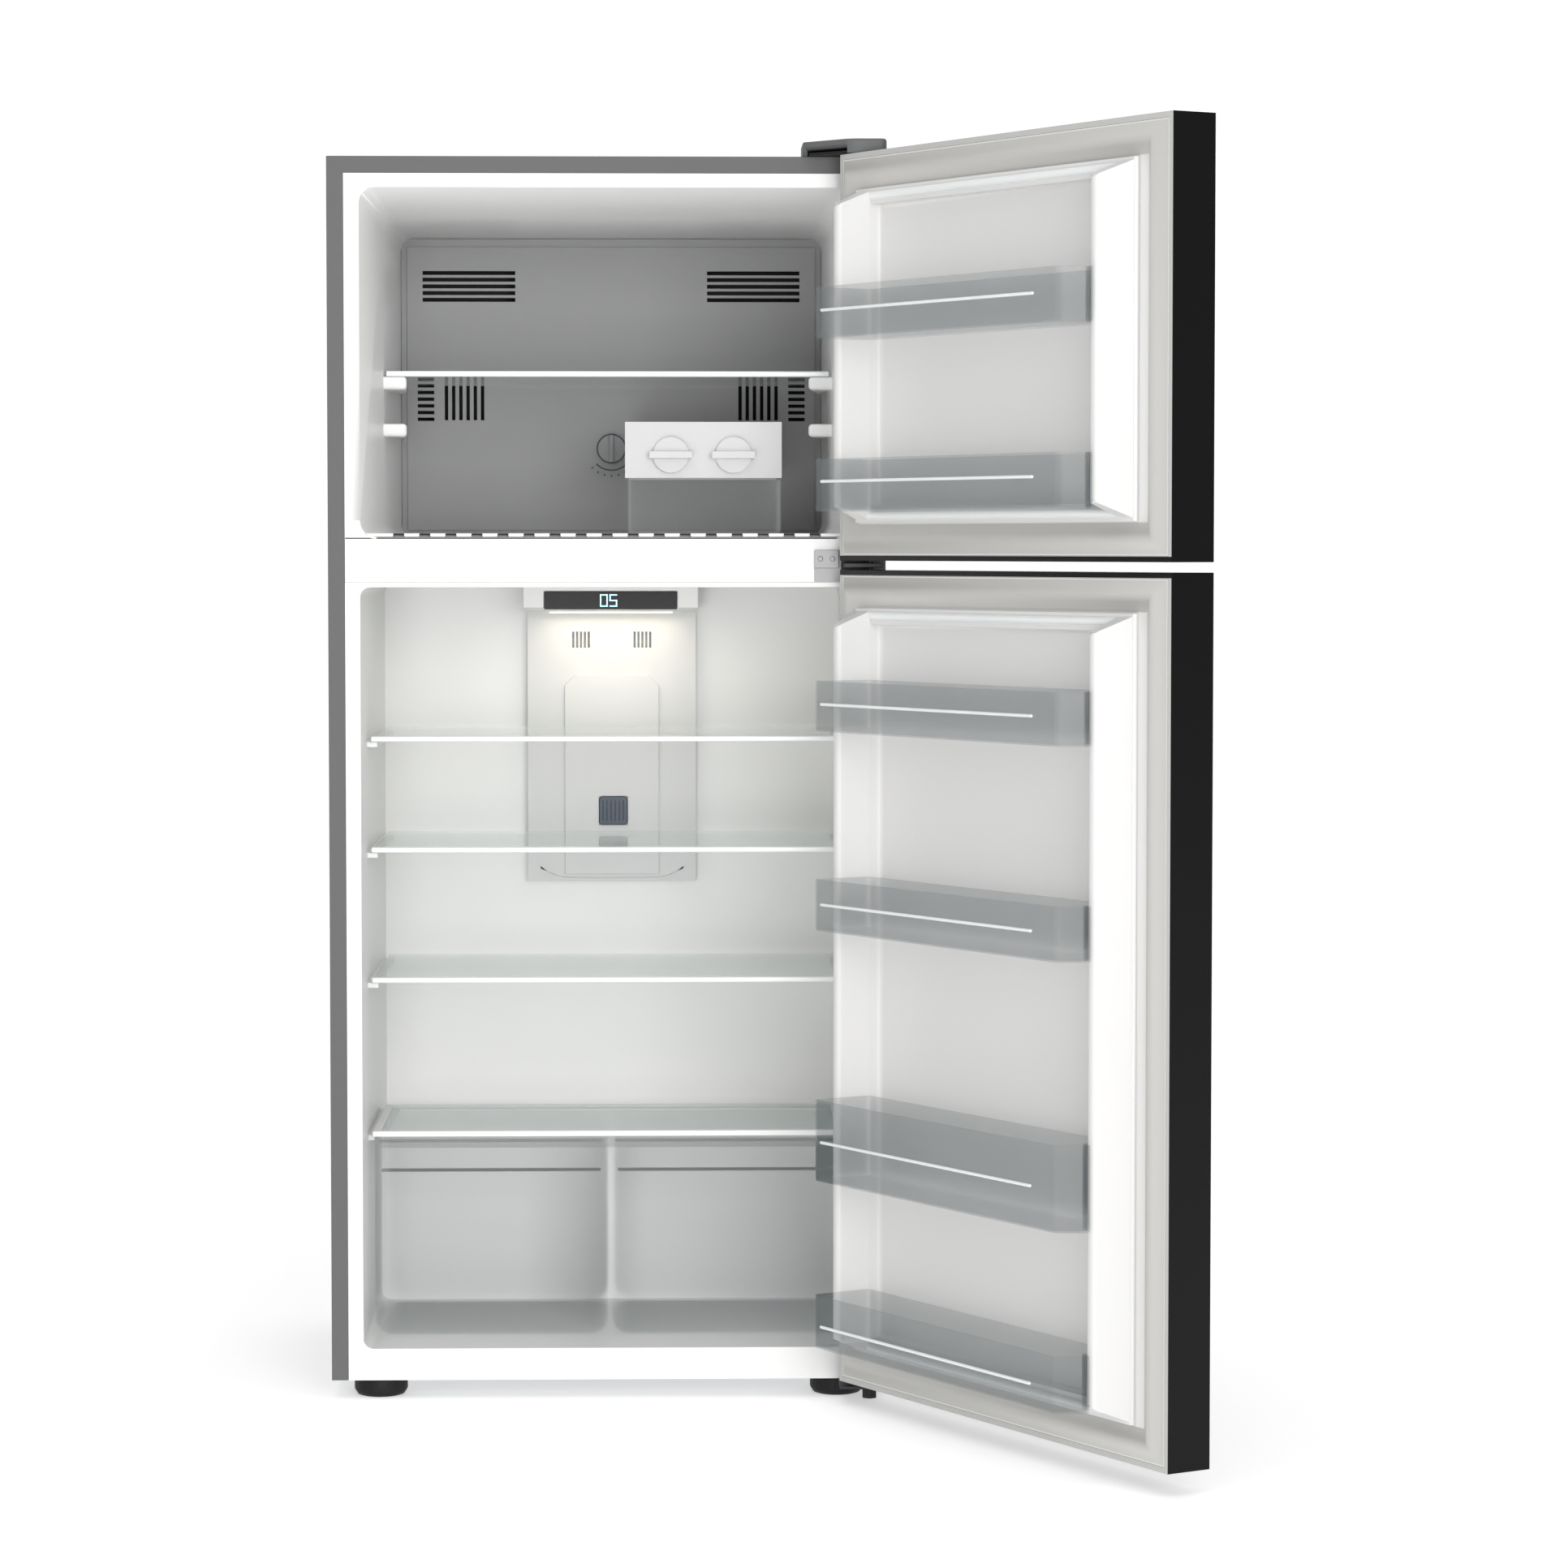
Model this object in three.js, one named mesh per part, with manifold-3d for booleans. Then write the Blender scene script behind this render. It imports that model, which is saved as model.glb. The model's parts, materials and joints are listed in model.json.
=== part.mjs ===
// A two-door refrigerator with its freezer on top, drawn with both doors open at their usual angle.
// Millimetres, +Z up. Inside the cabinet group, x = 0 is the middle of the cabinet, y = 0 is its front
// plane with +Y to the back, and z = 0 is the floor.
import * as THREE from "three";
import { mergeVertices } from "three/addons/utils/BufferGeometryUtils.js";
import Module from "manifold-3d";

const wasm = await Module();
wasm.setup();

// ---------------------------------------------------------------- driving dimensions

const FIT = 0.3; // gap between pieces that touch
const RUN = 2; // running clearance round pieces that slide

// Cabinet
const WIDTH = 780;
const DEPTH = 670;
const BODY_HEIGHT = 1717;
const FOOT_HEIGHT = 26;
const SHEET = 2; // steel of the shell, the back and the base
const LINER_WALL = 2.5;
const STEEL_BORDER = 23.4; // front return of the steel shell
const SIDE_BORDER = 45; // shell's side to the compartments' mouths
const TOP_BORDER = 43;
const BOTTOM_BORDER = 45;
const MULLION_BOTTOM = 1150;
const MULLION_TOP = 1213;
const MOUTH_RADIUS = 14;

// Freezer compartment
const FREEZER_DEPTH = DEPTH - 58; // to the liner's back, behind the fan and the cooling coil
const FLARE_DEPTH = 100;
const FLARE_SIDE = 27;
const FLARE_TOP = 35;
const REAR_PANEL_Y = DEPTH - 113;
const REAR_PANEL_WALL = 2.5;
const FLOOR_PLATE = 5;
const NOTCH_COUNT = 17;
const NOTCH_PITCH = 36.4;
const NOTCH_WIDTH = 15;
const VENT_PITCH = 10.1; // rows of slots in the rear panel
const UPPER_VENT = [145, 285];
const SIDE_VENT = [268, 293];
const COLUMN_VENT_X = 195;
const COLUMN_VENT_PITCH = 10.9;
const FREEZER_SHELF_Z = 1449;
const ICE_LEDGE_Z = 1374;
const DIAL_Z = 1348;
const DIAL_RADIUS = 23.5;
const FAN_Z = 1500;
const FAN_RADIUS = 48;
const FAN_Y = DEPTH - 92;
const COIL = { half: 225, front: 96, back: 64, foot: 16, height: 146, passes: 4, fins: 9 };
const ICE_X = [23.5, 249]; // ice maker's sides
const ICE_Y = [190, 400];
const ICE_BOX_HEIGHT = 80.5;
const ICE_BIN_HEIGHT = 77.5;
const TWIST_INSET = 66; // ice maker's side to each tray's axis
const TWIST_RISE = 33; // frame's bottom to the trays' axes
const LEDGE_REACH = 33;
const LEDGE_TAIL = 9; // reach at the back
const LEDGE_HEIGHT = 18;

// Fresh food compartment
const FRIDGE_DEPTH = DEPTH - 110;
const FRIDGE_TOP = 1143;
const STEP_Y = DEPTH - 240; // front of the step over the machine compartment
const STEP_Z = 300;
const STEP_SLOPE = 40;
const SHELF_TOPS = [930, 771.5, 585];
const COVER_TOP = 366;
const SHELF_FRONT_Y = 115;
const SHELF_BACK_Y = FRIDGE_DEPTH - 35;
const SHELF_TRIM = 8;
const GLASS = 4;
const SHELF_SIDE_GAP = 7; // shelf's end to the wall
const RAIL_REACH = 15; // wall rails under the shelves
const RAIL_HEIGHT = 8;
const COVER_RAIL_REACH = 8.5; // the crispers pass between these
const CRISPER_FRONT_Y = 100;
const CRISPER_WALL = 3;
const CRISPER_RADIUS = 24;
const CRISPER_TOP_GAP = 2.5;
const CRISPER_SIDE_GAP = 1.5;
const CRISPER_MIDDLE_GAP = 5; // between the two
const DUCT_HALF = 127.5;
const DUCT_BOTTOM = 693;
const DUCT_PROUD = 24;
const DISPLAY_HALF = 98.5;
const HOUSING_FRONT_Y = 400;
const HOUSING_HEIGHT = 40;
const DISPLAY_DROP = [36, 9.5]; // display's lower and upper edges under the housing's top
const LAMP_HALF = 92;
const LAMP_DEPTH = [34, 112]; // behind the housing's front
const FIELD_HALF = 71; // duct's raised field
const FIELD_TOP = 1004;
const FIELD_CHAMFER = 14;
const DUCT_VENT_X = 46.5;
const DUCT_VENT_Z = [1047, 1071];
const DUCT_VENT_PITCH = 5.9;
const FILTER = { x: [-20, 24], z: [778, 822] };

// Machine compartment
const MACHINE_Y = DEPTH - 204;
const MACHINE_Z = 258;
const COMPRESSOR = { x: -190, back: 104, radius: 74, height: 150 }; // back: behind it, to the cabinet's back
const DRAIN_PAN = { x: [-30, 330], front: 184, back: 22, height: 42 };
const GRILLE_SLOTS = 12;
const GRILLE_PITCH = 17;

const INLET_HALF = 17;
const INLET_Z = 90;

// Feet and rollers, as distances in from the cabinet's sides and planes
const FOOT_SIDE = 67;
const FOOT_Y = 41;
const FOOT_PAD = 37.5;
const FOOT_STEM = 6;
const ROLLER_SIDE = 90;
const ROLLER_BACK = 70;
const ROLLER_RADIUS = 12.5;
const ROLLER_WIDTH = 22;
const ROLLER_AXLE = 3;

// Doors
const DOOR_THICK = 66;
const DOOR_GAP = 11; // cabinet's front plane to the doors' inner faces
const DOOR_INSET = 1; // doors' edges inside the cabinet's sides
const DOOR_SPLIT = 13; // between the two doors
const DOOR_SPLIT_Z = 1174; // middle of that gap
const LOWER_DOOR_RISE = 4.5; // lower door's bottom above the body's
const UPPER_DOOR_DROP = 1; // upper door's top below the cabinet's
const DOOR_SKIN = 2.5;
const DOOR_CAP = 12; // end caps that hold the hinge pins
const PIN_INSET = 24; // cabinet's side to the hinge axis
const PIN_SETBACK = 35; // doors' inner faces to the hinge axis
const PIN_RADIUS = 5;
const PIN_BORE = 5.6;
const PIN_REACH = 8;
const OPEN_ANGLE = 120;
const LINER_EDGE = 8; // door's edge to its liner
const GASKET_INSET = 20;
const GASKET_WIDTH = 24;
const PLATEAU_INSET = 52;
const PLATEAU_RISE = 8;
const DYKE_RISE = 58;
const HINGE_DYKE = [52, 72, 88, 92]; // foot, crest and inner foot, from the hinge edge
const FREE_DYKE = [70, 82, 98, 102]; // the same, from the free edge
const RECESS_END = 74; // door's end to the recess
const RECESS_DROP = 10;
const BEAD_RADIUS = 5;

// Door bins: lowest point and height of each
const UPPER_BINS = [[1482, 70], [1248, 71]];
const LOWER_BINS = [[948, 69], [675, 71], [331, 112]];
const LOWEST_BIN_RISE = 69.5; // from the lower door's end
const LOWEST_BIN_HEIGHT = 74;
const BIN_REACH = 101; // doors' inner faces to the bins' fronts
const BIN_WALL = 2.5;
const BIN_FLOOR = 3;
const BIN_SLANT = 25;

// ---------------------------------------------------------------- places worked out from them

const TOP = FOOT_HEIGHT + BODY_HEIGHT;
const HALF = WIDTH / 2;
const MOUTH = HALF - SIDE_BORDER;
const FLANGE_HALF = HALF - STEEL_BORDER - FIT;
const FREEZER_TOP = TOP - TOP_BORDER;
const FRIDGE_FLOOR = FOOT_HEIGHT + BOTTOM_BORDER;
const THROAT = MOUTH - FLARE_SIDE;
const CEILING = FREEZER_TOP - FLARE_TOP;
const FREEZER_FLOOR = MULLION_TOP + FIT;
const PLATE_TOP = FREEZER_FLOOR + FIT + FLOOR_PLATE;
const INSIDE_HALF = HALF - SHEET;
const MACHINE_TOP = FOOT_HEIGHT + SHEET + MACHINE_Z;
const BACK_Y = DEPTH - SHEET;
const SHELF_HALF = MOUTH - SHELF_SIDE_GAP;
const FREEZER_SHELF_HALF = THROAT - 4;
const DUCT_Y = FRIDGE_DEPTH - DUCT_PROUD;

const FOOT_X = [-HALF + FOOT_SIDE, HALF - FOOT_SIDE];
const ROLLER_X = [-HALF + ROLLER_SIDE, HALF - ROLLER_SIDE];
const ROLLER_Y = DEPTH - ROLLER_BACK;
const ICE_Z = [PLATE_TOP + ICE_BIN_HEIGHT + 2.5, PLATE_TOP + ICE_BIN_HEIGHT + 2.5 + ICE_BOX_HEIGHT];
const TWIST_X = [ICE_X[0] + TWIST_INSET, ICE_X[1] - TWIST_INSET - 3.5];
const TWIST_Z = ICE_Z[0] + TWIST_RISE;

const HINGE_X = HALF - PIN_INSET;
const HINGE_Y = -(DOOR_GAP + PIN_SETBACK);
const DOOR_EDGE_X = HALF - DOOR_INSET; // closed door's hinge edge
const DOOR_WIDTH = WIDTH - 2 * DOOR_INSET;
const UPPER_DOOR = [DOOR_SPLIT_Z + DOOR_SPLIT / 2, TOP - UPPER_DOOR_DROP];
const LOWER_DOOR = [FOOT_HEIGHT + LOWER_DOOR_RISE, DOOR_SPLIT_Z - DOOR_SPLIT / 2];

// ---------------------------------------------------------------- solids

const PAINTED = { roughness: 0.45, metalness: 0.35 };
const FINISHES = {
  shell: { color: 0x7d7d7d, ...PAINTED },
  galvanised: { color: 0x9a9d9f, roughness: 0.45, metalness: 0.8 },
  dark_steel: { color: 0x2e2f31, roughness: 0.5, metalness: 0.6 },
  foam: { color: 0xe3d9a8, roughness: 0.95, metalness: 0 },
  white: { color: 0xf2f2f0, roughness: 0.4, metalness: 0 },
  grey: { color: 0xa9a9a9, roughness: 0.5, metalness: 0 },
  clear: { color: 0xb7c2c6, roughness: 0.08, metalness: 0 },
  glass: { color: 0xc8dad6, roughness: 0.04, metalness: 0 },
  gasket: { color: 0xbcbcb6, roughness: 0.7, metalness: 0 },
  door: { color: 0x1a1a1b, roughness: 0.18, metalness: 0.4 },
  door_liner: { color: 0xe9e9e8, roughness: 0.42, metalness: 0 },
  display: { color: 0x08090b, roughness: 0.1, metalness: 0 },
  lamp: { color: 0xfff6df, roughness: 0.3, metalness: 0 },
  filter: { color: 0x24384a, roughness: 0.3, metalness: 0 },
  black_plastic: { color: 0x161616, roughness: 0.55, metalness: 0 },
  hinge_cover: { color: 0x4a4c4e, roughness: 0.5, metalness: 0.1 },
  aluminium: { color: 0xc2c5c8, roughness: 0.35, metalness: 0.9 },
};

function solidOf(geometry) {
  const bare = geometry.clone();
  bare.deleteAttribute("normal");
  bare.deleteAttribute("uv");
  const merged = mergeVertices(bare, 1e-4);
  return new wasm.Manifold(
    new wasm.Mesh({
      numProp: 3,
      vertProperties: new Float32Array(merged.attributes.position.array),
      triVerts: new Uint32Array(merged.index.array),
    }),
  );
}

const join = (first, ...rest) => rest.reduce((whole, next) => whole.add(next), first);
const cut = (first, ...rest) => rest.reduce((whole, next) => whole.subtract(next), first);

function block([x0, x1], [y0, y1], [z0, z1]) {
  const box = new THREE.BoxGeometry(x1 - x0, y1 - y0, z1 - z0);
  return solidOf(box.translate((x0 + x1) / 2, (y0 + y1) / 2, (z0 + z1) / 2));
}

// The three prisms: an outline in plan, in front view or in side view, pulled along the third axis.
function extruded(shape, depth, curveSegments) {
  return new THREE.ExtrudeGeometry(shape, { depth, bevelEnabled: false, curveSegments });
}

function planPrism(shape, [z0, z1], curveSegments = 5) {
  return solidOf(extruded(shape, z1 - z0, curveSegments).translate(0, 0, z0));
}

function frontPrism(shape, [y0, y1], curveSegments = 4) {
  return solidOf(extruded(shape, y1 - y0, curveSegments).rotateX(Math.PI / 2).translate(0, y1, 0));
}

function sidePrism(shape, [x0, x1], curveSegments = 4) {
  const turn = new THREE.Matrix4().makeBasis(
    new THREE.Vector3(0, 1, 0),
    new THREE.Vector3(0, 0, 1),
    new THREE.Vector3(1, 0, 0),
  );
  return solidOf(extruded(shape, x1 - x0, curveSegments).applyMatrix4(turn).translate(x0, 0, 0));
}

const outline = (points) => new THREE.Shape(points.map(([a, b]) => new THREE.Vector2(a, b)));

function rounded([x0, x1], [y0, y1], radius, { squareTop = false } = {}) {
  const shape = new THREE.Shape();
  const top = squareTop ? 0 : radius;
  shape.moveTo(x0 + radius, y0);
  shape.lineTo(x1 - radius, y0);
  shape.absarc(x1 - radius, y0 + radius, radius, -Math.PI / 2, 0);
  shape.lineTo(x1, y1 - top);
  if (top) shape.absarc(x1 - radius, y1 - radius, radius, 0, Math.PI / 2);
  shape.lineTo(x0 + top, y1);
  if (top) shape.absarc(x0 + radius, y1 - radius, radius, Math.PI / 2, Math.PI);
  shape.lineTo(x0, y0 + radius);
  shape.absarc(x0 + radius, y0 + radius, radius, Math.PI, Math.PI * 1.5);
  return shape;
}

// A cylinder or cone from `low` to `high` along an axis, centred on the other two coordinates.
function rod(axis, [u, v], [low, high], radius, { sides = 16, tip = radius } = {}) {
  const cylinder = new THREE.CylinderGeometry(tip, radius, high - low, sides);
  cylinder.translate(0, (low + high) / 2, 0);
  if (axis === "x") return solidOf(cylinder.rotateZ(-Math.PI / 2).translate(0, u, v));
  if (axis === "z") return solidOf(cylinder.rotateX(Math.PI / 2).translate(u, v, 0));
  return solidOf(cylinder.translate(u, 0, v));
}

// ---------------------------------------------------------------- scene graph

const cabinet = new THREE.Group();

function piece(name, solid, finish, parent = cabinet) {
  const made = solid.getMesh();
  const geometry = new THREE.BufferGeometry();
  geometry.setAttribute("position", new THREE.Float32BufferAttribute(made.vertProperties, 3));
  geometry.setIndex(Array.from(made.triVerts));
  geometry.computeVertexNormals();
  const mesh = new THREE.Mesh(geometry, new THREE.MeshStandardMaterial(FINISHES[finish]));
  mesh.name = name;
  parent.add(mesh);
  return mesh;
}

// ---------------------------------------------------------------- liners

// The freezer's space, or its liner's outside when `wall` is added: a flared mouth and a straight throat.
function freezerSpace(wall, front) {
  const narrowing = front / FLARE_DEPTH;
  const sections = [
    [front, MOUTH + wall - FLARE_SIDE * narrowing, FREEZER_TOP + wall - FLARE_TOP * narrowing],
    [FLARE_DEPTH, THROAT + wall, CEILING + wall],
    [FREEZER_DEPTH + wall, THROAT + wall, CEILING + wall],
  ];
  const floor = FREEZER_FLOOR - wall;
  const corners = sections.flatMap(([y, half, top]) => [
    [-half, y, floor],
    [half, y, floor],
    [half, y, top],
    [-half, y, top],
  ]);
  const faces = [[0, 1, 2, 3], [11, 10, 9, 8]];
  for (const ring of [0, 4])
    for (let side = 0; side < 4; side += 1) {
      const next = (side + 1) % 4;
      faces.push([ring + next, ring + side, ring + 4 + side, ring + 4 + next]);
    }
  const triangles = faces.flatMap(([a, b, c, d]) => [a, b, c, a, c, d]);
  const hull = new THREE.BufferGeometry();
  hull.setAttribute("position", new THREE.Float32BufferAttribute(corners.flat(), 3));
  hull.setIndex(triangles);
  return solidOf(hull);
}

// The fresh food space, with the step over the machine compartment.
function fridgeSpace(wall, front) {
  const side = outline([
    [front, FRIDGE_FLOOR - wall],
    [STEP_Y + wall * 0.6, FRIDGE_FLOOR - wall],
    [STEP_Y + wall, STEP_Z - wall],
    [FRIDGE_DEPTH + wall, STEP_Z + STEP_SLOPE - wall],
    [FRIDGE_DEPTH + wall, FRIDGE_TOP + wall],
    [front, FRIDGE_TOP + wall],
  ]);
  const half = MOUTH + wall;
  const mouth = rounded([-half, half], [FRIDGE_FLOOR - wall, FRIDGE_TOP + wall], MOUTH_RADIUS + wall);
  return sidePrism(side, [-half, half]).intersect(frontPrism(mouth, [front - 1, FRIDGE_DEPTH + wall + 1]));
}

const FREEZER_LEDGE_TOPS = [FREEZER_SHELF_Z - SHELF_TRIM - FIT, ICE_LEDGE_Z];

function freezerLedges() {
  const ledges = [];
  for (const side of [-1, 1])
    for (const top of FREEZER_LEDGE_TOPS) {
      const ends = [side * (THROAT + 1), side * (THROAT - LEDGE_REACH)].sort((a, b) => a - b);
      const nose = outline([
        [FLARE_DEPTH + 8, top],
        [FLARE_DEPTH + 14, top - LEDGE_HEIGHT],
        [REAR_PANEL_Y - 12, top - LEDGE_HEIGHT * 0.6],
        [REAR_PANEL_Y - 12, top],
      ]);
      // In plan a ledge narrows from its nose to its tail.
      const plan = outline([
        [side * (THROAT + 2), FLARE_DEPTH],
        [side * (THROAT - LEDGE_REACH - 1), FLARE_DEPTH],
        [side * (THROAT - LEDGE_TAIL), REAR_PANEL_Y],
        [side * (THROAT + 2), REAR_PANEL_Y],
      ]);
      const tapered = planPrism(plan, [top - LEDGE_HEIGHT - 1, top + 1]);
      ledges.push(sidePrism(nose, ends).intersect(tapered));
    }
  return ledges;
}

function fridgeRails() {
  const rails = [];
  for (const side of [-1, 1])
    for (const top of [...SHELF_TOPS, COVER_TOP]) {
      const reach = top === COVER_TOP ? COVER_RAIL_REACH : RAIL_REACH;
      const ends = [side * (MOUTH + 1), side * (MOUTH - reach)].sort((a, b) => a - b);
      const under = top - SHELF_TRIM - FIT;
      const back = top === COVER_TOP ? STEP_Y - 2 : SHELF_BACK_Y;
      rails.push(block(ends, [SHELF_FRONT_Y + 14, back], [under - RAIL_HEIGHT, under]));
    }
  return rails;
}

function buildLiners() {
  const freezerFlange = block(
    [-FLANGE_HALF, FLANGE_HALF],
    [0, SHEET],
    [FREEZER_FLOOR, TOP - STEEL_BORDER - FIT],
  );
  const freezer = cut(join(freezerSpace(LINER_WALL, SHEET), freezerFlange), freezerSpace(0, -1));
  const drain = block(
    [-30, 30],
    [FREEZER_DEPTH - 30, FREEZER_DEPTH - 5],
    [FREEZER_FLOOR - 20, FREEZER_FLOOR + 1],
  );
  piece("freezer_liner", cut(join(freezer, ...freezerLedges()), drain), "white");

  const fridgeFlange = block(
    [-FLANGE_HALF, FLANGE_HALF],
    [0, SHEET],
    [FOOT_HEIGHT, MULLION_BOTTOM - FIT],
  );
  const fridge = cut(join(fridgeSpace(LINER_WALL, SHEET), fridgeFlange), fridgeSpace(0, -1));
  piece("fridge_liner", join(fridge, ...fridgeRails()), "white");

  const mullion = block([-FLANGE_HALF, FLANGE_HALF], [0, SHEET - FIT], [MULLION_BOTTOM, MULLION_TOP]);
  piece("centre_mullion", mullion, "white");

  const notches = [];
  for (let i = 0; i < NOTCH_COUNT; i += 1) {
    const x = (i - (NOTCH_COUNT - 1) / 2) * NOTCH_PITCH;
    notches.push(
      block([x - NOTCH_WIDTH / 2, x + NOTCH_WIDTH / 2], [0, 12], [FREEZER_FLOOR + 0.1, PLATE_TOP + 1]),
    );
  }
  const slab = block(
    [-MOUTH, MOUTH],
    [1, REAR_PANEL_Y - FIT],
    [FREEZER_FLOOR + FIT, PLATE_TOP],
  );
  const inside = freezerSpace(-RUN, 0).translate(0, 0, -FLOOR_PLATE);
  piece("freezer_floor_plate", cut(slab.intersect(inside), ...notches), "white");
}

// ---------------------------------------------------------------- cabinet body

function buildCabinet() {
  const walls = outline([
    [-HALF, FOOT_HEIGHT],
    [-INSIDE_HALF, FOOT_HEIGHT],
    [-INSIDE_HALF, TOP - SHEET],
    [INSIDE_HALF, TOP - SHEET],
    [INSIDE_HALF, FOOT_HEIGHT],
    [HALF, FOOT_HEIGHT],
    [HALF, TOP],
    [-HALF, TOP],
  ]);
  const inner = HALF - STEEL_BORDER;
  const border = outline([
    [-HALF, FOOT_HEIGHT],
    [-inner, FOOT_HEIGHT],
    [-inner, TOP - STEEL_BORDER],
    [inner, TOP - STEEL_BORDER],
    [inner, FOOT_HEIGHT],
    [HALF, FOOT_HEIGHT],
    [HALF, TOP],
    [-HALF, TOP],
  ]);
  piece("cabinet_shell", join(frontPrism(walls, [0, DEPTH]), frontPrism(border, [0, SHEET])), "shell");

  const clear = INSIDE_HALF - FIT;
  const rib = (x) =>
    block([x - 12, x + 12], [BACK_Y - 4, BACK_Y + 1], [MACHINE_TOP + 120, TOP - 160]);
  const back = block([-clear, clear], [BACK_Y, DEPTH], [MACHINE_TOP + FIT, TOP - SHEET - FIT]);
  piece("back_panel", join(back, rib(-220), rib(0), rib(220)), "galvanised");

  // Base, machine compartment bulkhead and roof, folded from one sheet.
  const low = FOOT_HEIGHT;
  const base = outline([
    [SHEET + 1, low],
    [BACK_Y - FIT, low],
    [BACK_Y - FIT, low + SHEET],
    [MACHINE_Y + SHEET, low + SHEET],
    [MACHINE_Y + SHEET, MACHINE_TOP - SHEET],
    [BACK_Y - FIT, MACHINE_TOP - SHEET],
    [BACK_Y - FIT, MACHINE_TOP],
    [MACHINE_Y, MACHINE_TOP],
    [MACHINE_Y, low + SHEET],
    [SHEET + 1, low + SHEET],
  ]);
  const holes = FOOT_X.map((x) => rod("z", [x, FOOT_Y], [low - 1, low + SHEET + 1], FOOT_STEM + 0.6));
  const forks = ROLLER_X.flatMap((x) => rollerFork(x));
  piece("base_plate", join(cut(sidePrism(base, [-clear, clear]), ...holes), ...forks), "galvanised");

  const foam = block(
    [-clear, clear],
    [SHEET + 1.5, BACK_Y - 4 - FIT],
    [FOOT_HEIGHT + SHEET + FIT, TOP - SHEET - FIT],
  );
  const machine = block(
    [-HALF, HALF],
    [MACHINE_Y - FIT, DEPTH],
    [0, MACHINE_TOP + FIT],
  );
  const stems = FOOT_X.map((x) => rod("z", [x, FOOT_Y], [low, low + 8], FOOT_STEM + 2));
  const liners = [freezerSpace(LINER_WALL + FIT, 0), fridgeSpace(LINER_WALL + FIT, 0)];
  piece("cabinet_foam", cut(foam, machine, ...stems, ...liners), "foam");
}

// ---------------------------------------------------------------- feet and rollers

function rollerFork(x) {
  const z = ROLLER_RADIUS;
  const ear = (side) => {
    const from = x + side * (ROLLER_WIDTH / 2 + 1);
    const ends = [from, from + side * 3].sort((a, b) => a - b);
    return block(ends, [ROLLER_Y - 9, ROLLER_Y + 9], [z - 6, FOOT_HEIGHT + SHEET / 2]);
  };
  const reach = ROLLER_WIDTH / 2 + 2;
  return [ear(-1), ear(1), rod("x", [ROLLER_Y, z], [x - reach, x + reach], ROLLER_AXLE)];
}

function buildFeet() {
  const names = ["left", "right"];
  FOOT_X.forEach((x, i) => {
    const tread = rod("z", [x, FOOT_Y], [0, 6], FOOT_PAD - 7, { sides: 24, tip: FOOT_PAD });
    const pad = rod("z", [x, FOOT_Y], [6, FOOT_HEIGHT - FIT], FOOT_PAD, { sides: 24 });
    const stem = rod("z", [x, FOOT_Y], [FOOT_HEIGHT - 2, FOOT_HEIGHT + SHEET + 4], FOOT_STEM);
    piece(`levelling_foot_${names[i]}`, join(tread, pad, stem), "black_plastic");
  });
  ROLLER_X.forEach((x, i) => {
    const ends = [x - ROLLER_WIDTH / 2, x + ROLLER_WIDTH / 2];
    const centre = [ROLLER_Y, ROLLER_RADIUS];
    const tyre = rod("x", centre, ends, ROLLER_RADIUS, { sides: 24 });
    const bore = rod("x", centre, [ends[0] - 1, ends[1] + 1], ROLLER_AXLE + 0.5);
    piece(`rear_roller_${names[i]}`, cut(tyre, bore), "black_plastic");
  });
}

// ---------------------------------------------------------------- freezer fittings

function ventSlots(panelY) {
  const through = [panelY - 6, panelY + REAR_PANEL_WALL + 2];
  const slots = [];
  const slot = (x0, x1, z0, z1) => {
    slots.push(block([x0, x1], through, [z0, z1]));
    slots.push(block([-x1, -x0], through, [z0, z1]));
  };
  for (let row = 0; row < 5; row += 1) {
    const z = CEILING - 52 - row * VENT_PITCH;
    slot(...UPPER_VENT, z - 3, z + 3);
  }
  for (let row = 0; row < 7; row += 1) {
    const z = FREEZER_SHELF_Z + 4 - row * VENT_PITCH;
    slot(...SIDE_VENT, z - 2.6, z + 2.6);
  }
  for (let column = 0; column < 6; column += 1) {
    const x = COLUMN_VENT_X + column * COLUMN_VENT_PITCH;
    slot(x - 2.6, x + 2.6, FREEZER_SHELF_Z - 58, FREEZER_SHELF_Z - 6);
  }
  return slots;
}

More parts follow.
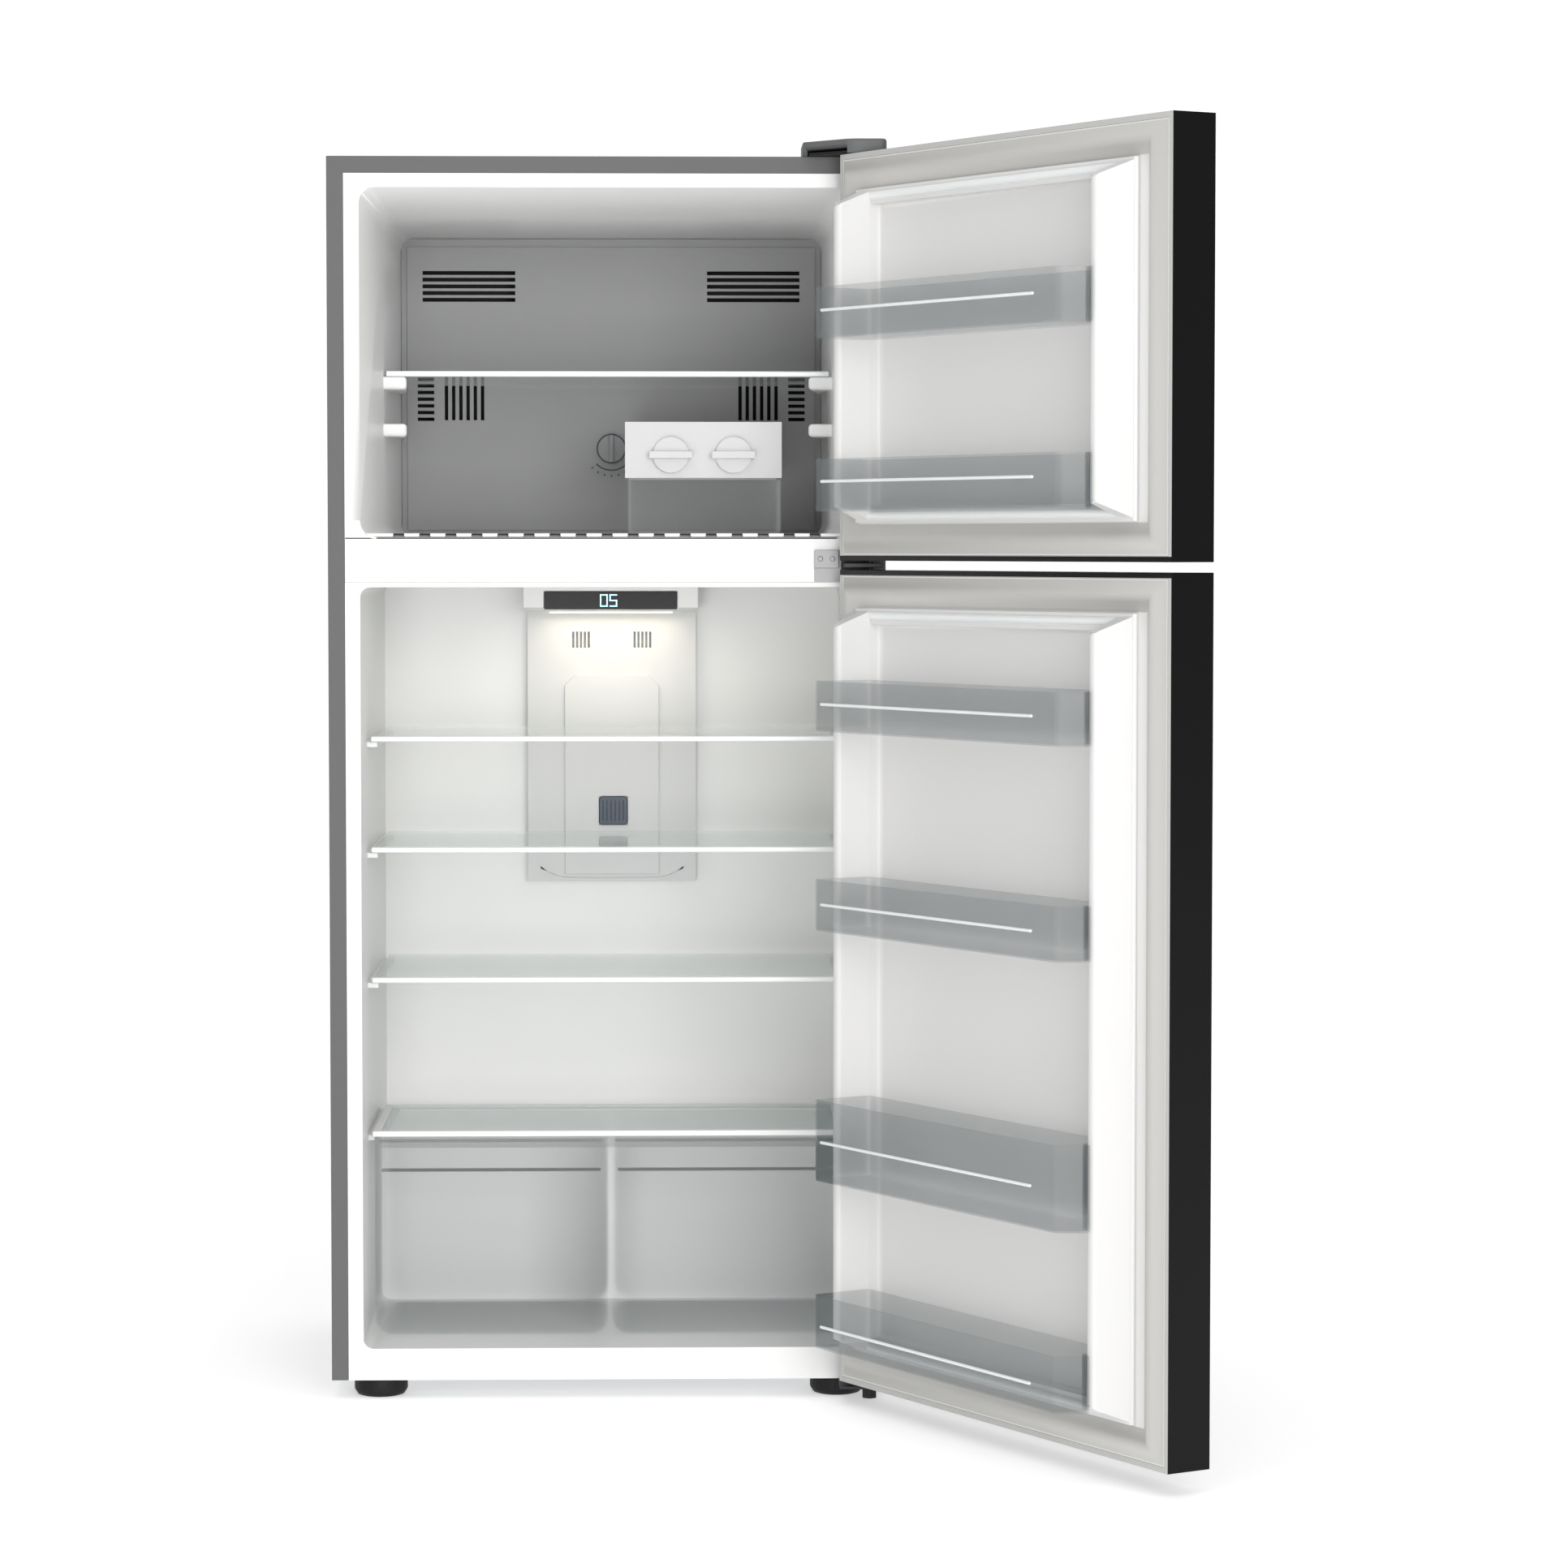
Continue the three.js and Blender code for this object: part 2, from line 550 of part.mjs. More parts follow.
function buildFreezerFittings() {
  const half = THROAT - 0.6;
  const field = [half - 9, CEILING - 13];
  const low = PLATE_TOP + FIT;
  const sheet = block(
    [-half, half],
    [REAR_PANEL_Y, REAR_PANEL_Y + REAR_PANEL_WALL],
    [FREEZER_FLOOR + FIT, CEILING - 0.6],
  );
  const raised = block([-field[0], field[0]], [REAR_PANEL_Y - 3, REAR_PANEL_Y + 1], [low + 6, field[1]]);
  const shaft = rod("y", [0, DIAL_Z], [REAR_PANEL_Y - 8, REAR_PANEL_Y + 6], 4.6);
  piece("freezer_rear_panel", cut(join(sheet, raised), shaft, ...ventSlots(REAR_PANEL_Y)), "grey");

  const face = REAR_PANEL_Y - 3 - FIT;
  const dial = rod("y", [0, DIAL_Z], [face - 7, face], DIAL_RADIUS, { sides: 32 });
  const gripHalf = DIAL_RADIUS - 3;
  const grip = block([-3.5, 3.5], [face - 15, face - 6], [DIAL_Z - gripHalf, DIAL_Z + gripHalf]);
  const spindle = rod("y", [0, DIAL_Z], [face - 1, REAR_PANEL_Y + 5], 4);
  piece("airflow_dial", join(dial, grip, spindle), "grey");

  // Cooling coil: fins on passes of tube.
  const coilY = [DEPTH - COIL.front, DEPTH - COIL.back];
  const coilZ = [FREEZER_FLOOR + COIL.foot, FREEZER_FLOOR + COIL.foot + COIL.height];
  const passPitch = COIL.height / COIL.passes;
  const passes = [];
  for (let row = 0; row < COIL.passes; row += 1) {
    const centre = [(coilY[0] + coilY[1]) / 2, coilZ[0] + passPitch * (row + 0.5)];
    passes.push(rod("x", centre, [-COIL.half, COIL.half], 5, { sides: 6 }));
  }
  const fins = [];
  for (let i = 0; i < COIL.fins; i += 1) {
    const x = (i - (COIL.fins - 1) / 2) * ((2 * COIL.half) / COIL.fins);
    fins.push(block([x - 1, x + 1], coilY, coilZ));
  }
  piece("evaporator", join(fins[0], ...fins.slice(1), ...passes), "aluminium");

  const hub = rod("y", [0, FAN_Z], [FAN_Y - 9, FAN_Y + 9], 16);
  const blades = [];
  for (let i = 0; i < 5; i += 1) {
    const blade = new THREE.BoxGeometry(FAN_RADIUS - 12, 2, 24);
    blade.rotateX(0.55).translate((FAN_RADIUS + 12) / 2, FAN_Y, 0);
    blade.rotateY((i * 2 * Math.PI) / 5).translate(0, 0, FAN_Z);
    blades.push(solidOf(blade));
  }
  const bore = rod("y", [0, FAN_Z], [FAN_Y - 4, FAN_Y + 10], 2.6);
  piece("fan_rotor", cut(join(hub, ...blades), bore), "black_plastic");

  const motor = rod("y", [0, FAN_Z], [FAN_Y + 12, FREEZER_DEPTH - FIT], 22);
  const stub = rod("y", [0, FAN_Z], [FAN_Y - 3, FAN_Y + 13], 2);
  const arm = block([-70, 70], [FREEZER_DEPTH - 6, FREEZER_DEPTH - FIT], [FAN_Z - 8, FAN_Z + 8]);
  piece("fan_motor", join(motor, stub, arm), "dark_steel");
}

// ---------------------------------------------------------------- shelves

// A glass pane in a moulded front trim: the trim holds the pane's front edge in a groove.
function shelf(name, half, top, backY, paneFinish = "glass") {
  const paneTop = top - 2;
  const front = SHELF_FRONT_Y;
  const pane = block([-half + 1, half - 1], [front + 4, backY], [paneTop - GLASS, paneTop]);
  const groove = block(
    [-half, half],
    [front + 4 - FIT, front + 40],
    [paneTop - GLASS - FIT, paneTop + FIT],
  );
  const bar = block([-half, half], [front, front + 12], [top - SHELF_TRIM, top]);
  piece(`${name}_glass`, pane, paneFinish);
  piece(`${name}_trim`, cut(bar, groove), "white");
}

function buildShelves() {
  shelf("freezer_shelf", FREEZER_SHELF_HALF, FREEZER_SHELF_Z, REAR_PANEL_Y - 14);
  const names = ["upper_shelf", "middle_shelf", "lower_shelf"];
  SHELF_TOPS.forEach((top, i) => shelf(names[i], SHELF_HALF, top, SHELF_BACK_Y));

  const backY = STEP_Y - 6;
  const front = CRISPER_FRONT_Y + 2;
  const frame = block([-SHELF_HALF, SHELF_HALF], [front, backY], [COVER_TOP - SHELF_TRIM, COVER_TOP]);
  const seat = block(
    [-SHELF_HALF + 12, SHELF_HALF - 12],
    [front + 12, backY - 10],
    [COVER_TOP - GLASS - FIT, COVER_TOP + 1],
  );
  const opening = block(
    [-SHELF_HALF + 22, SHELF_HALF - 22],
    [front + 22, backY - 20],
    [COVER_TOP - SHELF_TRIM - 1, COVER_TOP],
  );
  piece("crisper_cover_frame", cut(frame, seat, opening), "white");
  const pane = block(
    [-SHELF_HALF + 12 + FIT, SHELF_HALF - 12 - FIT],
    [front + 12 + FIT, backY - 10 - FIT],
    [COVER_TOP - GLASS, COVER_TOP],
  );
  piece("crisper_cover_glass", pane, "glass");
}

// ---------------------------------------------------------------- crispers

function crisper(name, ends) {
  const low = FRIDGE_FLOOR + RUN;
  const high = COVER_TOP - SHELF_TRIM - CRISPER_TOP_GAP;
  const depth = [CRISPER_FRONT_Y, STEP_Y - 8];
  const wall = CRISPER_WALL;
  const outer = rounded(ends, [low, high], CRISPER_RADIUS, { squareTop: true });
  const inner = rounded(
    [ends[0] + wall, ends[1] - wall],
    [low + wall, high + 20],
    CRISPER_RADIUS - wall,
    { squareTop: true },
  );
  const hollow = frontPrism(inner, [depth[0] + wall, depth[1] - wall]);
  const lip = block(
    [ends[0] + 10, ends[1] - 10],
    [depth[0] + wall - 1, depth[0] + 18],
    [high - 48, high - 44],
  );
  piece(name, join(cut(frontPrism(outer, depth), hollow), lip), "clear");
}

function buildCrispers() {
  const half = MOUTH - COVER_RAIL_REACH - CRISPER_SIDE_GAP;
  crisper("crisper_left", [-half, -CRISPER_MIDDLE_GAP / 2]);
  crisper("crisper_right", [CRISPER_MIDDLE_GAP / 2, half]);
}

// ---------------------------------------------------------------- air duct, display, lamp

function buildDuct() {
  const back = FRIDGE_DEPTH - FIT;
  const top = FRIDGE_TOP - FIT;
  const wall = 2.5;
  const shellOf = block([-DUCT_HALF, DUCT_HALF], [DUCT_Y, back], [DUCT_BOTTOM, top]);
  const hollow = block(
    [-DUCT_HALF + wall, DUCT_HALF - wall],
    [DUCT_Y + wall, back + 1],
    [DUCT_BOTTOM + wall, top - wall],
  );
  const chamfer = FIELD_CHAMFER;
  const [half, low, high] = [FIELD_HALF, DUCT_BOTTOM + 11, FIELD_TOP];
  const raised = outline([
    [-half, low],
    [half, low],
    [half, high - chamfer],
    [half - chamfer, high],
    [-half + chamfer, high],
    [-half, high - chamfer],
  ]);
  const field = frontPrism(raised, [DUCT_Y - 5, DUCT_Y + 1]);
  const slots = [];
  for (const side of [-1, 1])
    for (let i = 0; i < 5; i += 1) {
      const x = side * DUCT_VENT_X + (i - 2) * DUCT_VENT_PITCH;
      slots.push(block([x - 1.6, x + 1.6], [DUCT_Y - 1, DUCT_Y + wall + 1], DUCT_VENT_Z));
    }
  const socket = block(FILTER.x, [DUCT_Y - 6, DUCT_Y - 1], FILTER.z);
  piece("duct_panel", cut(join(cut(shellOf, hollow), field), socket, ...slots), "white");

  const face = rounded(
    [FILTER.x[0] + 0.5, FILTER.x[1] - 0.5],
    [FILTER.z[0] + 0.5, FILTER.z[1] - 0.5],
    5,
  );
  piece("odour_filter", frontPrism(face, [DUCT_Y - 8, DUCT_Y - 1 - FIT]), "filter");
}

function buildDisplay() {
  const top = FRIDGE_TOP - FIT;
  const low = top - HOUSING_HEIGHT;
  const back = DUCT_Y - FIT;
  const half = DUCT_HALF + 3;
  const cheek = outline([
    [HOUSING_FRONT_Y, low + 6],
    [HOUSING_FRONT_Y + 30, low],
    [back, low],
    [back, top],
    [HOUSING_FRONT_Y, top],
  ]);
  const window = { x: DISPLAY_HALF, z: DISPLAY_DROP.map((drop) => top - drop) };
  const recess = block(
    [-window.x - FIT, window.x + FIT],
    [HOUSING_FRONT_Y - 1, HOUSING_FRONT_Y + 4],
    [window.z[0] - FIT, window.z[1] + FIT],
  );
  const lamp = { x: LAMP_HALF, y: LAMP_DEPTH.map((depth) => HOUSING_FRONT_Y + depth) };
  const lampSeat = block(
    [-lamp.x - FIT, lamp.x + FIT],
    [lamp.y[0] - FIT, lamp.y[1] + FIT],
    [low - 1, low + 5],
  );
  piece("display_housing", cut(sidePrism(cheek, [-half, half]), recess, lampSeat), "white");

  const glass = block([-window.x, window.x], [HOUSING_FRONT_Y - 0.5, HOUSING_FRONT_Y + 4 - FIT], window.z);
  piece("display_window", glass, "display");
  piece("lamp_cover", block([-lamp.x, lamp.x], lamp.y, [low - 2, low + 5 - FIT]), "lamp");
}

// ---------------------------------------------------------------- twist ice maker

function buildIceMaker() {
  const [x0, x1] = ICE_X;
  const [y0, y1] = ICE_Y;
  const [z0, z1] = ICE_Z;
  const wall = 3;
  const outer = block(ICE_X, ICE_Y, ICE_Z);
  const hollow = block([x0 + wall, x1 - wall], [y0 + wall, y1 - wall], [z0 - 1, z1 - wall]);
  const bores = TWIST_X.flatMap((x) => [
    rod("y", [x, TWIST_Z], [y0 - 1, y0 + wall + 1], 7),
    rod("y", [x, TWIST_Z], [y1 - wall - 1, y1 + 1], 5),
  ]);
  const fill = block([x0 + 40, x1 - 40], [y0 + 30, y1 - 30], [z1 - wall - 1, z1 + 1]);
  piece("ice_maker_frame", cut(outer, hollow, fill, ...bores), "white");

  TWIST_X.forEach((x, i) => {
    const tray = rounded([x - 33, x + 33], [TWIST_Z - 20, TWIST_Z + 14], 12, { squareTop: true });
    const body = frontPrism(tray, [y0 + wall + RUN, y1 - wall - RUN]);
    const cells = [];
    for (const side of [-1, 1])
      for (let row = 0; row < 5; row += 1) {
        const y = y0 + 12 + row * 38;
        const ends = [x + side * 2, x + side * 30].sort((a, b) => a - b);
        cells.push(block(ends, [y, y + 34], [TWIST_Z - 8, TWIST_Z + 15]));
      }
    const axle = rod("y", [x, TWIST_Z], [y0 - 5, y0 + wall + RUN + 1], 6.4);
    const tail = rod("y", [x, TWIST_Z], [y1 - wall - RUN - 1, y1 + 1], 4.4);
    const knob = rod("y", [x, TWIST_Z], [y0 - 9, y0 - 1], 26, { sides: 28 });
    const bar = block([x - 31, x + 31], [y0 - 20, y0 - 8], [TWIST_Z - 5, TWIST_Z + 5]);
    piece(`ice_tray_${["left", "right"][i]}`, join(cut(body, ...cells), axle, tail, knob, bar), "white");
  });

  const binX = [x0 + 4, x1 - 1];
  const binZ = [PLATE_TOP + FIT, z0 - 2];
  const binOuter = block(binX, [y0 - 6, y1], binZ);
  const binInner = block(
    [binX[0] + 2.5, binX[1] - 2.5],
    [y0 - 3.5, y1 - 2.5],
    [binZ[0] + 2.5, binZ[1] + 1],
  );
  piece("ice_bin", cut(binOuter, binInner), "clear");
}

// ---------------------------------------------------------------- hinges

function buildHinges() {
  const centre = [HINGE_X, HINGE_Y];
  const tip = HINGE_Y - 16;
  const right = HALF - 6;

  const topPlate = { z: [TOP + FIT, TOP + 4], x: [HALF - 108, right] };
  const plate = block(topPlate.x, [tip, 66], topPlate.z);
  const clip = outline([
    [topPlate.x[0] - 1, -12],
    [HINGE_X - 30, tip - 1],
    [topPlate.x[0] - 1, tip - 1],
  ]);
  const downPin = rod("z", centre, [UPPER_DOOR[1] - PIN_REACH, TOP + 1], PIN_RADIUS);
  const topHinge = cut(join(plate, downPin), planPrism(clip, [TOP - 1, TOP + 6]));
  piece("top_hinge", topHinge, "dark_steel");

  const coverPlan = new THREE.Shape();
  const coverTip = HINGE_Y - 22;
  const coverLeft = HALF - 117;
  const coverRight = HALF - 2;
  coverPlan.moveTo(coverLeft, 72);
  coverPlan.lineTo(coverLeft, -2);
  coverPlan.lineTo(HINGE_X - 36, coverTip + 6);
  coverPlan.quadraticCurveTo(HINGE_X - 28, coverTip, HINGE_X - 16, coverTip);
  coverPlan.lineTo(coverRight - 10, coverTip);
  coverPlan.quadraticCurveTo(coverRight, coverTip, coverRight, coverTip + 10);
  coverPlan.lineTo(coverRight, 72);
  coverPlan.closePath();
  const room = block([topPlate.x[0] - 2, right + 1.5], [tip - 2, 68], [TOP - 1, TOP + 8]);
  const coverBody = planPrism(coverPlan, [TOP + FIT, TOP + 20]);
  piece("top_hinge_cover", cut(coverBody, room), "hinge_cover");

  const leaf = block([HALF - 100, HALF - 18], [-3.3, -FIT], [MULLION_BOTTOM + 1, MULLION_TOP - 18]);
  const boss = block([HALF - 100, HALF - 66], [-8, -2], [MULLION_BOTTOM + 20, MULLION_TOP - 18]);
  const arm = block([HALF - 60, right], [tip, -FIT], [DOOR_SPLIT_Z - 3, DOOR_SPLIT_Z + 3]);
  const bothPins = rod("z", centre, [LOWER_DOOR[1] - PIN_REACH, UPPER_DOOR[0] + PIN_REACH], PIN_RADIUS);
  piece("middle_hinge", join(leaf, boss, arm, bothPins), "dark_steel");

  const plateZ = [FOOT_HEIGHT - 5, FOOT_HEIGHT - FIT];
  const footPlate = block([HALF - 66, right], [tip, FOOT_Y - FOOT_PAD - 2], plateZ);
  const strap = block([HALF - FOOT_SIDE + FOOT_PAD + 2, right], [tip, FOOT_Y + FOOT_PAD], plateZ);
  const upPin = rod("z", centre, [FOOT_HEIGHT - 2, LOWER_DOOR[0] + PIN_REACH], PIN_RADIUS);
  const nut = rod("z", centre, [7, FOOT_HEIGHT - 4], 11, { sides: 6 });
  piece("bottom_hinge", join(footPlate, strap, upPin, nut), "dark_steel");
}

// ---------------------------------------------------------------- machine compartment

function buildMachineRoom() {
  const floor = FOOT_HEIGHT + SHEET + FIT;
  const middle = [COMPRESSOR.x, DEPTH - COMPRESSOR.back];
  const { radius, height } = COMPRESSOR;
  const can = rod("z", middle, [floor + 22, floor + height], radius, { sides: 28 });
  const dome = rod("z", middle, [floor + height, floor + height + 35], radius, { sides: 28, tip: 46 });
  const sump = rod("z", middle, [floor + 10, floor + 22], 50, { sides: 28, tip: radius });
  const rails = [-52, 52].map((dy) => {
    const railY = [middle[1] + dy - 14, middle[1] + dy + 14];
    return block([middle[0] - radius - 14, middle[0] + radius + 14], railY, [floor, floor + 14]);
  });
  const pipe = rod("z", [middle[0] + 60, middle[1] + 40], [floor + 60, floor + 215], 4, { sides: 8 });
  piece("compressor", join(can, dome, sump, ...rails, pipe), "dark_steel");

  const panY = [DEPTH - DRAIN_PAN.front, DEPTH - DRAIN_PAN.back];
  const pan = { x: DRAIN_PAN.x, y: panY, z: [floor, floor + DRAIN_PAN.height] };
  const tray = block(pan.x, pan.y, pan.z);
  const well = block(
    [pan.x[0] + 2, pan.x[1] - 2],
    [pan.y[0] + 2, pan.y[1] - 2],
    [pan.z[0] + 2, pan.z[1] + 1],
  );
  piece("drain_pan", cut(tray, well), "black_plastic");

  const half = INSIDE_HALF - FIT;
  const cover = block([-half, half], [BACK_Y, DEPTH], [floor, MACHINE_TOP - FIT]);
  const slots = [];
  for (const side of [-1, 1])
    for (let i = 0; i < GRILLE_SLOTS; i += 1) {
      const x = side * 220 + (i - (GRILLE_SLOTS - 1) / 2) * GRILLE_PITCH;
      slots.push(block([x - 4, x + 4], [BACK_Y - 1, DEPTH + 1], [floor + 40, floor + 190]));
    }
  const hole = block(
    [-INLET_HALF - FIT, INLET_HALF + FIT],
    [BACK_Y - 1, DEPTH + 1],
    [INLET_Z - 12 - FIT, INLET_Z + 12 + FIT],
  );
  piece("machine_room_cover", cut(cover, hole, ...slots), "galvanised");

  const inlet = block([-INLET_HALF, INLET_HALF], [BACK_Y - 22, DEPTH], [INLET_Z - 12, INLET_Z + 12]);
  const mouth = [-INLET_HALF + 4, INLET_HALF - 4];
  const socket = block(mouth, [BACK_Y - 16, DEPTH + 1], [INLET_Z - 8, INLET_Z + 8]);
  const blades = [-8, 0, 8].map((x) =>
    block([x - 1, x + 1], [BACK_Y - 17, BACK_Y - 3], [INLET_Z - 3, INLET_Z + 3]),
  );
  piece("power_inlet", join(cut(inlet, socket), ...blades), "black_plastic");
}

// ---------------------------------------------------------------- doors

// Door pieces are drawn on the closed door, with the hinge axis at the group's origin.
function doorGroup() {
  const group = new THREE.Group();
  group.position.set(HINGE_X, HINGE_Y, 0);
  group.rotation.z = THREE.MathUtils.degToRad(OPEN_ANGLE);
  cabinet.add(group);
  return group;
}

const EDGE = DOOR_EDGE_X - HINGE_X; // hinge edge, from the axis
const along = (a) => EDGE - a; // distance from the hinge edge, to x from the axis
const FACE = PIN_SETBACK; // inner face, from the axis
const span = (from, to) => [along(to), along(from)];

// An outline over the door's width and depth, given as distances from the hinge edge and the inner face.
const widthOutline = (points) => outline(points.map(([a, b]) => [along(a), FACE + b]));

function doorShell(name, [z0, z1], group, pinEnds) {
  const out = [FACE - DOOR_THICK, FACE];
  const whole = block(span(0, DOOR_WIDTH), out, [z0, z1]);
  const skin = DOOR_SKIN;
  const inside = block(
    span(skin, DOOR_WIDTH - skin),
    [out[0] + skin, out[1] + 1],
    [z0 + DOOR_CAP, z1 - DOOR_CAP],
  );
  const rebate = block(
    span(LINER_EDGE - FIT, DOOR_WIDTH - LINER_EDGE + FIT),
    [out[1] - LINER_WALL - FIT, out[1] + 1],
    [z0 + LINER_EDGE - FIT, z1 - LINER_EDGE + FIT],
  );
  const lip = block(
    span(LINER_EDGE + 2, DOOR_WIDTH - LINER_EDGE - 2),
    [out[1] - 6, out[1] + 1],
    [z0 + DOOR_CAP, z1 - DOOR_CAP],
  );
  const frame = block(span(0, DOOR_WIDTH), [out[1] - 6, out[1]], [z0, z1]);
  const bores = pinEnds.map((end) =>
    rod("z", [0, 0], end === "low" ? [z0 - 1, z0 + DOOR_CAP - 2] : [z1 - DOOR_CAP + 2, z1 + 1], PIN_BORE),
  );
  piece(name, cut(join(cut(whole, inside), cut(frame, lip)), rebate, ...bores), "door", group);
}

function doorLiner(name, [z0, z1], group) {
  const free = DOOR_WIDTH;
  const back = -LINER_WALL;
  const flat = block(
    span(LINER_EDGE, free - LINER_EDGE),
    [FACE + back, FACE],
    [z0 + LINER_EDGE, z1 - LINER_EDGE],
  );
  const ends = [z0 + PLATEAU_INSET, z1 - PLATEAU_INSET];
  const recess = [z0 + RECESS_END, z1 - RECESS_END];
  const [hFoot, hCrest, hIn, hBase] = HINGE_DYKE;
  const [fFoot, fCrest, fIn, fBase] = FREE_DYKE.map((inset) => free - inset);
  const plateau = block(span(hFoot, fFoot), [FACE - 1, FACE + PLATEAU_RISE], ends);
  const hingeDyke = widthOutline([
    [hFoot, -1],
    [hCrest, DYKE_RISE],
    [hIn, DYKE_RISE],
    [hBase, -1],
  ]);
  const freeDyke = widthOutline([
    [fFoot, -1],
    [fCrest, DYKE_RISE],
    [fIn, DYKE_RISE],
    [fBase, -1],
  ]);
  // The dykes' ends slope back to the plateau.
  const slope = outline([
    [FACE - 2, recess[0] - 18],
    [FACE + PLATEAU_RISE, recess[0] - 18],
    [FACE + DYKE_RISE + 1, recess[0] + 2],
    [FACE + DYKE_RISE + 1, recess[1] - 2],
    [FACE + PLATEAU_RISE, recess[1] + 18],
    [FACE - 2, recess[1] + 18],
  ]);
  const dykes = join(planPrism(hingeDyke, ends), planPrism(freeDyke, ends)).intersect(
    sidePrism(slope, [along(free), along(0)]),
  );
  const bowl = block(span(hBase - 1, fBase + 1), [FACE - RECESS_DROP, FACE + PLATEAU_RISE + 1], recess);
  const bowlBack = block(
    span(hBase - 1 - LINER_WALL, fBase + 1 + LINER_WALL),
    [FACE - RECESS_DROP - LINER_WALL, FACE + 1],
    [recess[0] - LINER_WALL, recess[1] + LINER_WALL],
  );
  const beads = [z0 + PLATEAU_INSET + 10, z1 - PLATEAU_INSET - 10].map((z) =>
    rod("x", [FACE + PLATEAU_RISE, z], span(hFoot + 28, fFoot - 7), BEAD_RADIUS, { sides: 12 }),
  );
  const solid = join(flat, plateau, dykes, ...beads, bowlBack);
  piece(name, cut(solid, bowl), "door_liner", group);

  const foamBox = block(
    span(DOOR_SKIN + FIT, free - DOOR_SKIN - FIT),
    [FACE - DOOR_THICK + DOOR_SKIN + FIT, FACE - 6 - FIT],
    [z0 + DOOR_CAP + FIT, z1 - DOOR_CAP - FIT],
  );
  const bowlRoom = block(
    span(hBase - 2 - LINER_WALL, fBase + 2 + LINER_WALL),
    [FACE - RECESS_DROP - LINER_WALL - FIT, FACE + 1],
    [recess[0] - LINER_WALL - 1, recess[1] + LINER_WALL + 1],
  );
  return cut(foamBox, bowlRoom);
}

function gasket(name, [z0, z1], group) {
  const [near, far] = [GASKET_INSET, GASKET_INSET + GASKET_WIDTH];
  const ring = (from, to, depth) =>
    cut(
      block(span(from, DOOR_WIDTH - from), depth, [z0 + from, z1 - from]),
      block(span(to, DOOR_WIDTH - to), [depth[0] - 1, depth[1] + 1], [z0 + to, z1 - to]),
    );
  const foot = ring(near, far, [FACE + FIT, FACE + 4]);
  const nose = ring(near + 4, far - 4, [FACE + 3, FACE + DOOR_GAP - 0.5]);
  piece(name, join(foot, nose), "gasket", group);
}

// A bin's outline in plan; `inset` makes its inside.
function binOutline(inset) {
  const hinge = HINGE_DYKE[3] + RUN + inset;
  const free = DOOR_WIDTH - FREE_DYKE[3] - RUN - inset;
  const wing = DOOR_WIDTH - FREE_DYKE[1] - inset * 1.1;
  const crest = DYKE_RISE + RUN + inset;
  const front = BIN_REACH - inset;
  return widthOutline([
    [hinge, PLATEAU_RISE + RUN + inset],
    [hinge, front],
    [wing - BIN_SLANT, front],
    [wing, crest],
    [free, crest],
    [free, PLATEAU_RISE + RUN + inset],
  ]);
}

function bin(name, [low, height], group) {
  const outer = planPrism(binOutline(0), [low, low + height]);
  const inner = planPrism(binOutline(BIN_WALL), [low + BIN_FLOOR, low + height + 1]);
  piece(name, cut(outer, inner), "clear", group);
}

function buildDoor(name, ends, bins, pinEnds) {
  const group = doorGroup();
  doorShell(`${name}_door_shell`, ends, group, pinEnds);
  const foam = doorLiner(`${name}_door_liner`, ends, group);
  piece(`${name}_door_foam`, foam, "foam", group);
  gasket(`${name}_door_gasket`, ends, group);
  bins.forEach((size, i) => bin(`${name}_door_bin_${i + 1}`, size, group));
}

// ---------------------------------------------------------------- the whole refrigerator

buildCabinet();
buildLiners();
buildFeet();
buildFreezerFittings();
buildShelves();
buildCrispers();
buildDuct();
buildDisplay();
buildIceMaker();
buildHinges();
buildMachineRoom();
buildDoor("upper", UPPER_DOOR, UPPER_BINS, ["low", "high"]);
const lowestBin = [LOWER_DOOR[0] + LOWEST_BIN_RISE, LOWEST_BIN_HEIGHT];
buildDoor("lower", LOWER_DOOR, [...LOWER_BINS, lowestBin], ["low", "high"]);

// The whole stands on the floor with the middle of its plan, open doors included, over the origin.
const angle = THREE.MathUtils.degToRad(OPEN_ANGLE);
const turned = (x, y) => [
  HINGE_X + x * Math.cos(angle) - y * Math.sin(angle),
  HINGE_Y + x * Math.sin(angle) + y * Math.cos(angle),
];
const farEnd = along(DOOR_WIDTH);
const doorCorners = [turned(farEnd, FACE), turned(farEnd, FACE - DOOR_THICK)];
const rightmost = Math.max(...doorCorners.map(([x]) => x));
const foremost = Math.min(...doorCorners.map(([, y]) => y));
cabinet.position.set((HALF - rightmost) / 2, -(DEPTH + foremost) / 2, 0);

const refrigerator = new THREE.Group();
refrigerator.add(cabinet);

export default refrigerator;
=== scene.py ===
"""A two-door refrigerator with its freezer on top, drawn with both doors open.

Metres, +Z up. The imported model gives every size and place; this script gives the surfaces, and the
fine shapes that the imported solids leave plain.
"""

import json
import logging
import math
from dataclasses import dataclass, field
from enum import Enum
from typing import Callable, Iterable, Sequence

import bmesh
import bpy
from mathutils import Matrix, Vector


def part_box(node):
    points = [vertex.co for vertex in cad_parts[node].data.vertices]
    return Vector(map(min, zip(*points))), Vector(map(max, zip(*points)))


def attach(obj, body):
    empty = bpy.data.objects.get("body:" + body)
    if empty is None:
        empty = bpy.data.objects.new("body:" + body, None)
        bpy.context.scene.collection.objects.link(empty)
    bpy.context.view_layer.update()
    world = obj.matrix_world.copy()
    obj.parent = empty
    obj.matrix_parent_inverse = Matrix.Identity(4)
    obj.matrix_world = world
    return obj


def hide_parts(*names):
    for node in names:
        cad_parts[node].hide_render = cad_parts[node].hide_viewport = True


log = logging.getLogger("refrigerator")

